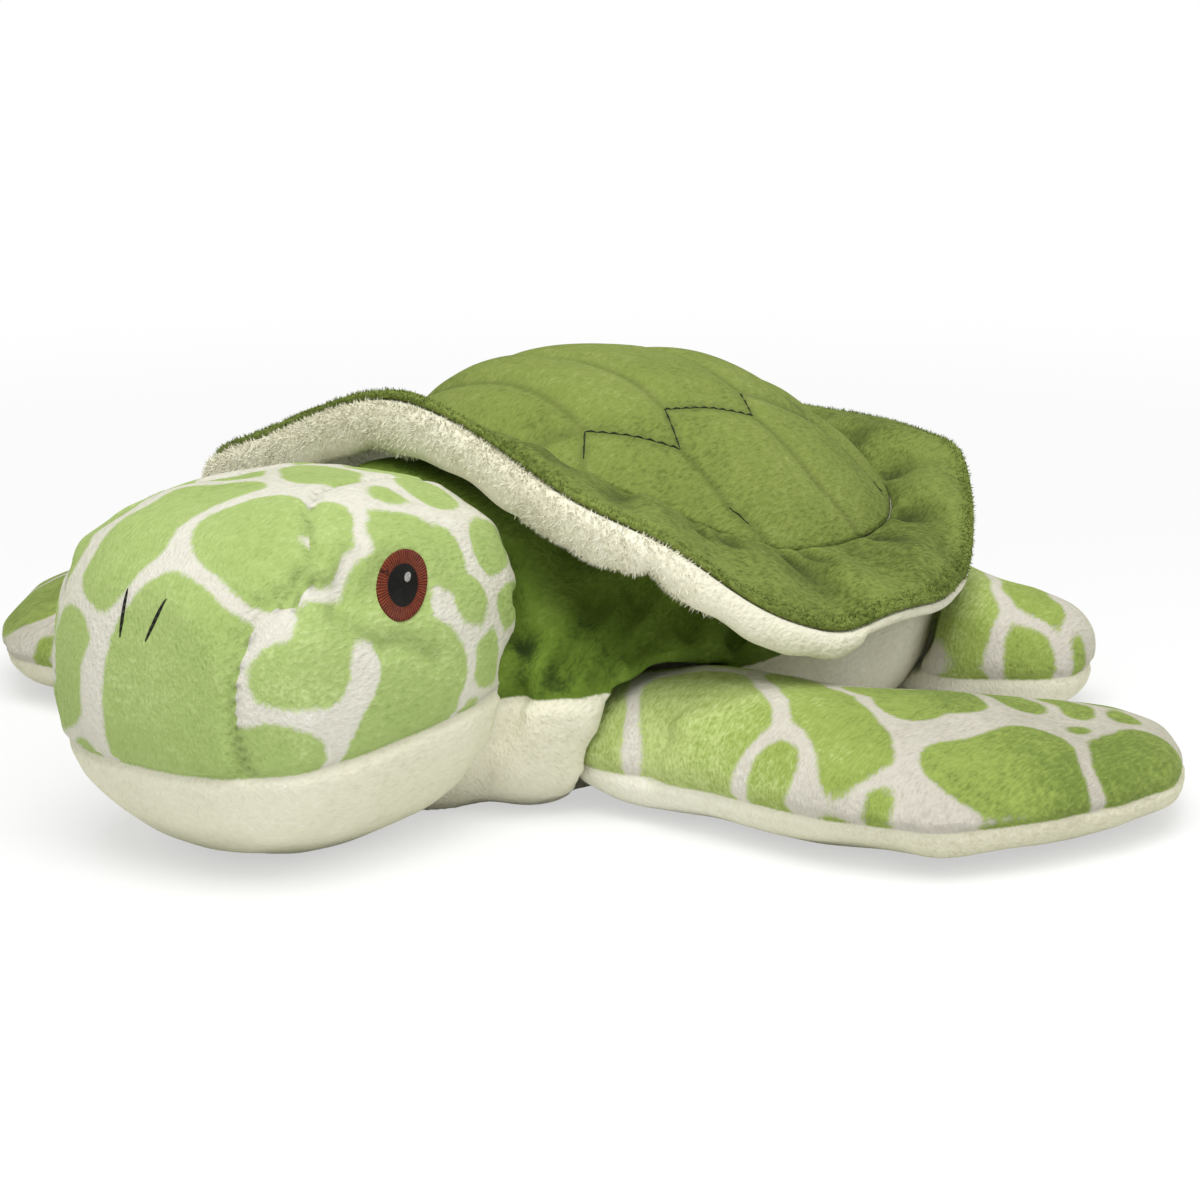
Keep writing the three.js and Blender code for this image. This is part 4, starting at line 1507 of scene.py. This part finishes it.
    def make_lining(self) -> None:
        """Makes the cream lining with its rolled hem, and the pile on it."""
        turns = self.turns()
        seam = self.seam(turns)
        summit = np.array([0, self.summit_y, self.top])
        upper = []
        for share in (0.002, 0.33, 0.66, 0.97):
            place = summit + (seam - summit) * share
            upper.append(np.column_stack([place[:, :2], self.under_height(seam, share)]))
        shares = [0.0] * len(upper) + list(np.linspace(0.1, 1.0, 22))
        upper += [self.rim_loop(turns, float(s)) - UP * (self.cloth + self.gap) for s in shares[len(upper) :]]
        lower = [loop - UP * self.hem_depth(turns, s)[:, None] for loop, s in zip(upper, shares)]
        bulge = []
        depth = self.hem_depth(turns, 1.0)[:, None]
        shown = 0.3 + 0.7 * ramp(np.cos(2 * math.pi * turns), -0.3, 0.2)[:, None]
        reach = (0.9 * MM + np.minimum(depth * 0.35, 3.5 * MM)) * shown
        for angle in (8, 20, 40, 65, 90, 120, 150):
            turn = math.radians(angle)
            offset = self.outwards(turns) * math.sin(turn) ** 0.6 * reach
            bulge.append(upper[-1] + offset + UP * (math.cos(turn) - 1) * depth / 2)
        piece = self.skin("cream_lining", [*upper, *bulge, *reversed(lower)], False)
        mark_plain(piece, BELOW_SEAM)
        self.make_fluff(piece)
        self.sewn(piece, ["carapace_lining"], 0.2, CREAM_PLUSH)

    def make_fluff(self, piece: bpy.types.Object) -> None:
        """The long pile that grows, a little unevenly, on the lining's rolled hem.

        Args:
            piece: the lining, in place.
        """
        where = places(piece)
        uneven = (ripple(where, 0.014, 51) * 0.2 * MM)[:, None]
        where += outward(piece) * uneven * ramp(-where[:, 2], -0.2, 0)[:, None]
        turns = np.arctan2(where[:, 0], self.dome_y - where[:, 1]) / (2 * math.pi)
        out = np.linalg.norm(where[:, :2] - self.edge(turns % 1)[:, :2], axis=1)
        weights = ramp(-out, -16 * MM, -9 * MM) * ramp(np.cos(2 * math.pi * turns), -0.6, 0) + 1e-9
        weights *= 1 - ramp(outward(piece)[:, 2], 0.85, 0.97)
        weights *= self.off_head(where) * (1 + 2 * ramp(-out, -4 * MM, -1 * MM))
        fluff = self.fluff.grown("hem_fluff", piece, weights)
        mark_plain(fluff, BELOW_SEAM)
        self.grown_on(fluff, CREAM_PLUSH)

    def off_head(self, where: np.ndarray) -> np.ndarray:
        """Share of pile that each place keeps beside the head, which turns under the hem.

        Args:
            where: vertex places in metres, one row each.

        Returns:
            One share for each place.
        """
        surface = surface_of(self.head)
        near = [surface.find_nearest(Vector(place), self.head_room)[0] is not None for place in where]
        return 1 - np.array(near, float)

    def make_threads(self, dome: bpy.types.Object) -> None:
        """The dark thread that shows in the zigzag and the costal channels.

        Args:
            dome: the finished dome that the threads lie on.
        """
        surface = surface_of(dome)
        thread = SatinThread("quilting_thread", "1c2412", "10150a", "3a4624").material()
        for number, line in enumerate(self.mirrored(self.thread_shares)):
            points = []
            for a, b in zip(line[:-1], line[1:]):
                steps = max(2, int(np.linalg.norm(b - a) / self.thread_step))
                for k in range(steps):
                    x, y = a + (b - a) * k / steps
                    hit = surface.ray_cast(Vector((x, y, 2 * self.top)), Vector((0, 0, -1)))[0]
                    if hit is not None and self.inside_dome(x, y):
                        points.append(hit)
            if len(points) < 4:
                continue
            piece = self.thread_tube(f"quilting_thread_{number}", points)
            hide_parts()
            dressed(piece, thread, "trunk")

    def inside_dome(self, x: float, y: float) -> bool:
        """Whether a place in plan lies inside the dome's seam."""
        return math.hypot(x * 2 / self.dome_width, (y - self.dome_y) * 2 / self.dome_length) < 0.96

    def thread_tube(self, name: str, points: list[Vector]) -> bpy.types.Object:
        """A stitched thread along points.

        Args:
            name: the piece's name.
            points: the points that it follows on the cloth.

        Returns:
            The tube, which rises and sinks with each stitch.
        """
        curve = bpy.data.curves.new(name, "CURVE")
        curve.dimensions = "3D"
        curve.bevel_depth = self.thread / 2
        curve.bevel_resolution = 1
        spline = curve.splines.new("POLY")
        spline.points.add(len(points) - 1)
        for k, point in enumerate(points):
            rise = self.thread_rise - self.thread_dip * math.sin(2 * math.pi * k / 4)
            spline.points[k].co = (point.x, point.y, point.z + rise, 1)
        made = added(name + "_curve", curve)
        depsgraph = bpy.context.evaluated_depsgraph_get()
        mesh = bpy.data.meshes.new_from_object(made.evaluated_get(depsgraph))
        bpy.data.objects.remove(made)
        piece = added(name, mesh)
        mark(piece, "stitch", places(piece)[:, 1] / self.thread_stitch)
        return piece

    def build(self) -> None:
        """Builds the carapace and its threads."""
        dome = self.make_dome()
        self.make_rim()
        self.make_lining()
        self.make_threads(dome)


# Face


@dataclass
class Embroidery:
    """Satin-stitched spots that lie on the head's cover."""

    head: bpy.types.Object
    look_from: float = 120 * MM
    root: float = 0.6 * MM
    stitches_round: int = 64
    tree: BVHTree | None = None

    def __post_init__(self) -> None:
        """Prepares the head's surface for laying stitches on it."""
        self.tree = surface_of(self.head)

    def spot(
        self,
        name: str,
        centre: Vector,
        facing: Vector,
        size: tuple[float, float],
        height: float,
        turn: float = 0.0,
        shift: tuple[float, float] = (0.0, 0.0),
    ) -> bpy.types.Object:
        """Lays a padded oval of stitches on the head.

        Args:
            name: the piece's name.
            centre: a point inside the head.
            facing: the direction from there out through the oval's middle.
            size: the oval's width and height.
            height: how far the stitches stand up from the cover.
            turn: the oval's turn in degrees.
            shift: shift of its middle across and up.

        Returns:
            The piece, lying on the cover.
        """
        bpy.ops.object.select_all(action="DESELECT")
        bpy.ops.mesh.primitive_uv_sphere_add(segments=64, ring_count=32, radius=1)
        piece = bpy.context.active_object
        piece.name = name
        out = facing.normalized()
        across = Vector((0, 0, 1)).cross(out).normalized()
        upward = out.cross(across)
        u, v, w = places(piece).T
        spin = math.radians(turn)
        a = (u * size[0] / 2) * math.cos(spin) - (v * size[1] / 2) * math.sin(spin) + shift[0]
        b = (u * size[0] / 2) * math.sin(spin) + (v * size[1] / 2) * math.cos(spin) + shift[1]
        moved = []
        for right, rise, level in zip(a.tolist(), b.tolist(), w.tolist()):
            start = centre + across * right + upward * rise + out * self.look_from
            hit, normal, _, _ = self.tree.ray_cast(start, -out)
            if hit is None:
                hit, normal, _, _ = self.tree.find_nearest(start)
            moved.append(hit + normal * (height * level**0.5 if level > 0 else self.root * level))
        put(piece, np.array(moved))
        mark(piece, "stitch", np.arctan2(v, u) / (2 * math.pi) * self.stitches_round)
        return piece


@dataclass
class Eye:
    """One embroidered eye: a brown ring, a black pupil and a white glint."""

    side: int
    name: str
    centre: Point = (0.0, -0.125, 0.0540)
    yaw: float = 78
    pitch: float = 20
    size: tuple[float, float] = (13.8 * MM, 18.6 * MM)
    pupil_share: float = 0.67
    lean: float = 42
    glint: tuple[float, float] = (2.2 * MM, 3.5 * MM)
    glint_shift: tuple[float, float] = (1.8 * MM, 1.6 * MM)

    def facing(self) -> Vector:
        """Finds where the eye looks.

        Returns:
            The direction out through the eye's middle.
        """
        yaw, pitch = math.radians(self.yaw), math.radians(self.pitch)
        level = Vector((self.side * math.sin(yaw), -math.cos(yaw), 0)) * math.cos(pitch)
        return level + Vector((0, 0, math.sin(pitch)))

    def build(self, work: Embroidery) -> None:
        """Stitches the eye on the head.

        Args:
            work: the embroidery on the head.
        """
        inner = (self.size[0] * self.pupil_share, self.size[1] * self.pupil_share)
        off = (self.side * self.glint_shift[0], self.glint_shift[1])
        turn = -self.side * self.lean
        for node, slot, dyes, size, height, shift in (
            ("iris", "brown", ("6e2d18", "48190e", "9c4e2e"), self.size, 1.0 * MM, (0.0, 0.0)),
            ("pupil", "black", ("0b0a08", "040303", "171411"), inner, 1.45 * MM, (0.0, 0.0)),
            ("glint", "white", ("f2f0ea", "c9c4b8", "ffffff"), self.glint, 1.8 * MM, off),
        ):
            name = f"{self.name}_{node}"
            centre, facing = Vector(self.centre), self.facing()
            piece = work.spot(f"{name}_stitches", centre, facing, size, height, turn, shift)
            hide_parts(name)
            thread = SatinThread(f"{self.name}_{slot}", *dyes)
            dressed(piece, thread.material(), "head")


@dataclass
class Nostril:
    """One nostril: a short bar of black stitches."""

    side: int
    name: str
    middle: Point = (4.9 * MM, -0.159, 0.0500)
    shift: float = 3.6 * MM
    size: tuple[float, float] = (0.8 * MM, 11 * MM)
    slant: tuple[float, float] = (12, 11)
    pitch: float = 34

    def build(self, work: Embroidery) -> None:
        """Stitches the nostril on the head.

        Args:
            work: the embroidery on the head.
        """
        middle = Vector((self.side * self.middle[0] + self.shift, self.middle[1], self.middle[2]))
        pitch = math.radians(self.pitch)
        out = Vector((0, -math.cos(pitch), math.sin(pitch)))
        turn = -self.side * self.slant[0] - self.slant[1]
        piece = work.spot(f"{self.name}_stitches", middle, out, self.size, 0.45 * MM, turn)
        mark(piece, "stitch", places(piece)[:, 2] / (1.6 * MM))
        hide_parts(self.name)
        thread = SatinThread(f"{self.name}_black", "1b1d12", "0a0b07", "45482f")
        dressed(piece, thread.material(), "head")


# Studio


@dataclass
class Studio:
    """Pale floor, soft light and the camera at the photograph's angle."""

    azimuth: float = 38
    elevation: float = 14
    distance: float = 0.9
    target: Point = (0.026, -0.040, 0.045)
    lens: float = 105
    world: float = 0.45
    lamp_distance: float = 1.5
    lamps: tuple[tuple[str, float, float, float, float], ...] = (
        ("key", 34, 66, 1.1, 22),
        ("side", 95, 40, 1.0, 3.5),
        ("front", 25, 30, 0.8, 1),
    )

    def aimed(
        self, name: str, data: bpy.types.ID, azimuth: float, elevation: float, distance: float
    ) -> bpy.types.Object:
        """Hangs a camera or a lamp so that it looks at the toy.

        Args:
            name: the object's name.
            data: the camera or lamp.
            azimuth: its angle round the toy from the head, in degrees.
            elevation: its height angle in degrees.
            distance: how far off it hangs in metres.

        Returns:
            The object.
        """
        a, e = math.radians(azimuth), math.radians(elevation)
        back = Vector((math.sin(a) * math.cos(e), -math.cos(a) * math.cos(e), math.sin(e)))
        made = added(name, data)
        made.location = Vector(self.target) + back * distance
        made.rotation_euler = (-back).to_track_quat("-Z", "Y").to_euler()
        return made

    def camera(self) -> None:
        """Places the camera."""
        data = bpy.data.cameras.new("camera")
        data.lens = self.lens
        data.sensor_width = 36
        data.clip_start, data.clip_end = 0.05, 50
        bpy.context.scene.camera = self.aimed("camera", data, self.azimuth, self.elevation, self.distance)

    def floor(self) -> None:
        """Lays the pale floor, which fades to the white of the sky."""
        bpy.ops.object.select_all(action="DESELECT")
        bpy.ops.mesh.primitive_plane_add(size=12, location=(0, 0, 0))
        plane = bpy.context.active_object
        plane.name = "floor"
        board = Board(bpy.data.materials.new("floor_paper"))
        rays = board.node("LightPath")
        seen, glossy = (Level(board, rays.outputs[f"Is {kind} Ray"]) for kind in ("Camera", "Glossy"))
        paper = board.node("BsdfDiffuse", {"Color": (0.82, 0.82, 0.82, 1)})
        glow = board.node("Emission", {"Color": WHITE, "Strength": 1.0})
        out = board.node("VectorMath", {0: board.place()}, operation="LENGTH").outputs["Value"]
        share = (Level(board, out).eased(0.12, 0.75) * 0.45 + 0.55) * (seen + glossy)
        board.close(board.node("MixShader", {0: share, 1: paper.outputs[0], 2: glow.outputs[0]}))
        plane.data.materials.append(board.owner)

    def sky(self) -> None:
        """Sets the even light from all round, white where the camera sees it."""
        board = Board(bpy.data.worlds.new("studio"), "OutputWorld")
        bpy.context.scene.world = board.owner
        seen = board.node("LightPath").outputs["Is Camera Ray"]
        fill, back = (board.node("Background", {0: WHITE, 1: power}) for power in (self.world, 1.0))
        board.close(board.node("MixShader", {0: seen, 1: fill.outputs[0], 2: back.outputs[0]}))

    def build(self) -> None:
        """Sets the studio up."""
        bpy.context.scene.view_settings.view_transform = "Standard"
        self.camera()
        self.floor()
        self.sky()
        for name, azimuth, elevation, size, power in self.lamps:
            data = bpy.data.lights.new(name, "AREA")
            data.size = size
            data.energy = power
            self.aimed(name, data, azimuth, elevation, self.lamp_distance)


# The toy


def stuffed_pieces() -> list[StuffedPiece]:
    """Lists the stuffed pieces of the toy.

    Returns:
        The trunk, head, flippers and tail, not yet made.
    """
    skin = Plush("printed_plush", Dye.LEAF, Dye.CREAM, Dye.MILK, has_cheeks=True)
    # The flippers' print uses darkened copies of the head's dyes, as painted shade.
    paddle_skin = Plush("printed_flipper_plush", Dye.LEAF_SHADED_ON_FLIPPERS, Dye.CREAM, Dye.MILK_SHADED_ON_FLIPPERS)
    trunk_skin = Plush("forest_and_cream_plush", Dye.FOREST, Dye.CREAM, sheen=0.15)
    tail_skin = Plush("forest_plush", Dye.FOREST, Dye.CREAM)
    trunk_nodes = ["back_cover", "belly_cover", "body_filling"]
    head_nodes = ["head_gusset", "left_cheek", "right_cheek", "chin", "head_filling"]
    found: list[StuffedPiece] = [
        Trunk("stuffed_trunk", trunk_nodes, "trunk", "forest_plush", trunk_skin),
        Head("stuffed_head", head_nodes, "head", "scale_print_plush", skin, voxel=2.5 * MM),
        StuffedPiece("stuffed_tail", ["tail"], "trunk", "forest_plush", tail_skin, voxel=2 * MM),
    ]
    for end, shoulder, sweeps, patches in (
        ("front", (0.055, -0.054), {1: 36, -1: 21}, FRONT_PRINT),
        ("hind", (0.047, 0.072), {1: 12, -1: 12}, HIND_PRINT),
    ):
        for side, hand in SIDES:
            name = f"{end}_{hand}_flipper"
            nodes = [f"{name}_top", f"{name}_underside", f"{name}_filling"]
            own = {"shoulder": shoulder, "side": side, "sweep": sweeps[side], "patches": patches}
            made = Flipper(f"stuffed_{name}", nodes, name, "scale_print_plush", paddle_skin, 2.5 * MM, **own)
            found.append(made)
    return found


def puff(found: list[StuffedPiece]) -> None:
    """Runs the cloth simulation that fills the covers out.

    Args:
        found: the stuffed pieces, cast.
    """
    for stuffed in found:
        stuffed.tighten()
    for number in range(1, CLOTH_FRAMES + 1):
        bpy.context.scene.frame_set(number)
    for stuffed in found:
        stuffed.settle()
    bpy.context.scene.frame_set(1)


def main() -> None:
    """Builds the whole toy on its frame."""
    logging.basicConfig(level=logging.INFO, format="%(message)s")
    bpy.ops.object.select_all(action="DESELECT")
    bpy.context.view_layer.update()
    Studio().build()
    found = stuffed_pieces()
    for stuffed in found:
        stuffed.cast()
    puff(found)
    sewn = {stuffed.name: stuffed.sew() for stuffed in found}
    Carapace(head=sewn["stuffed_head"]).build()
    work = Embroidery(sewn["stuffed_head"])
    for side, hand in SIDES:
        Eye(side, f"{hand}_eye").build(work)
        Nostril(side, f"{hand}_nostril").build(work)


if __name__ == "__main__":
    main()
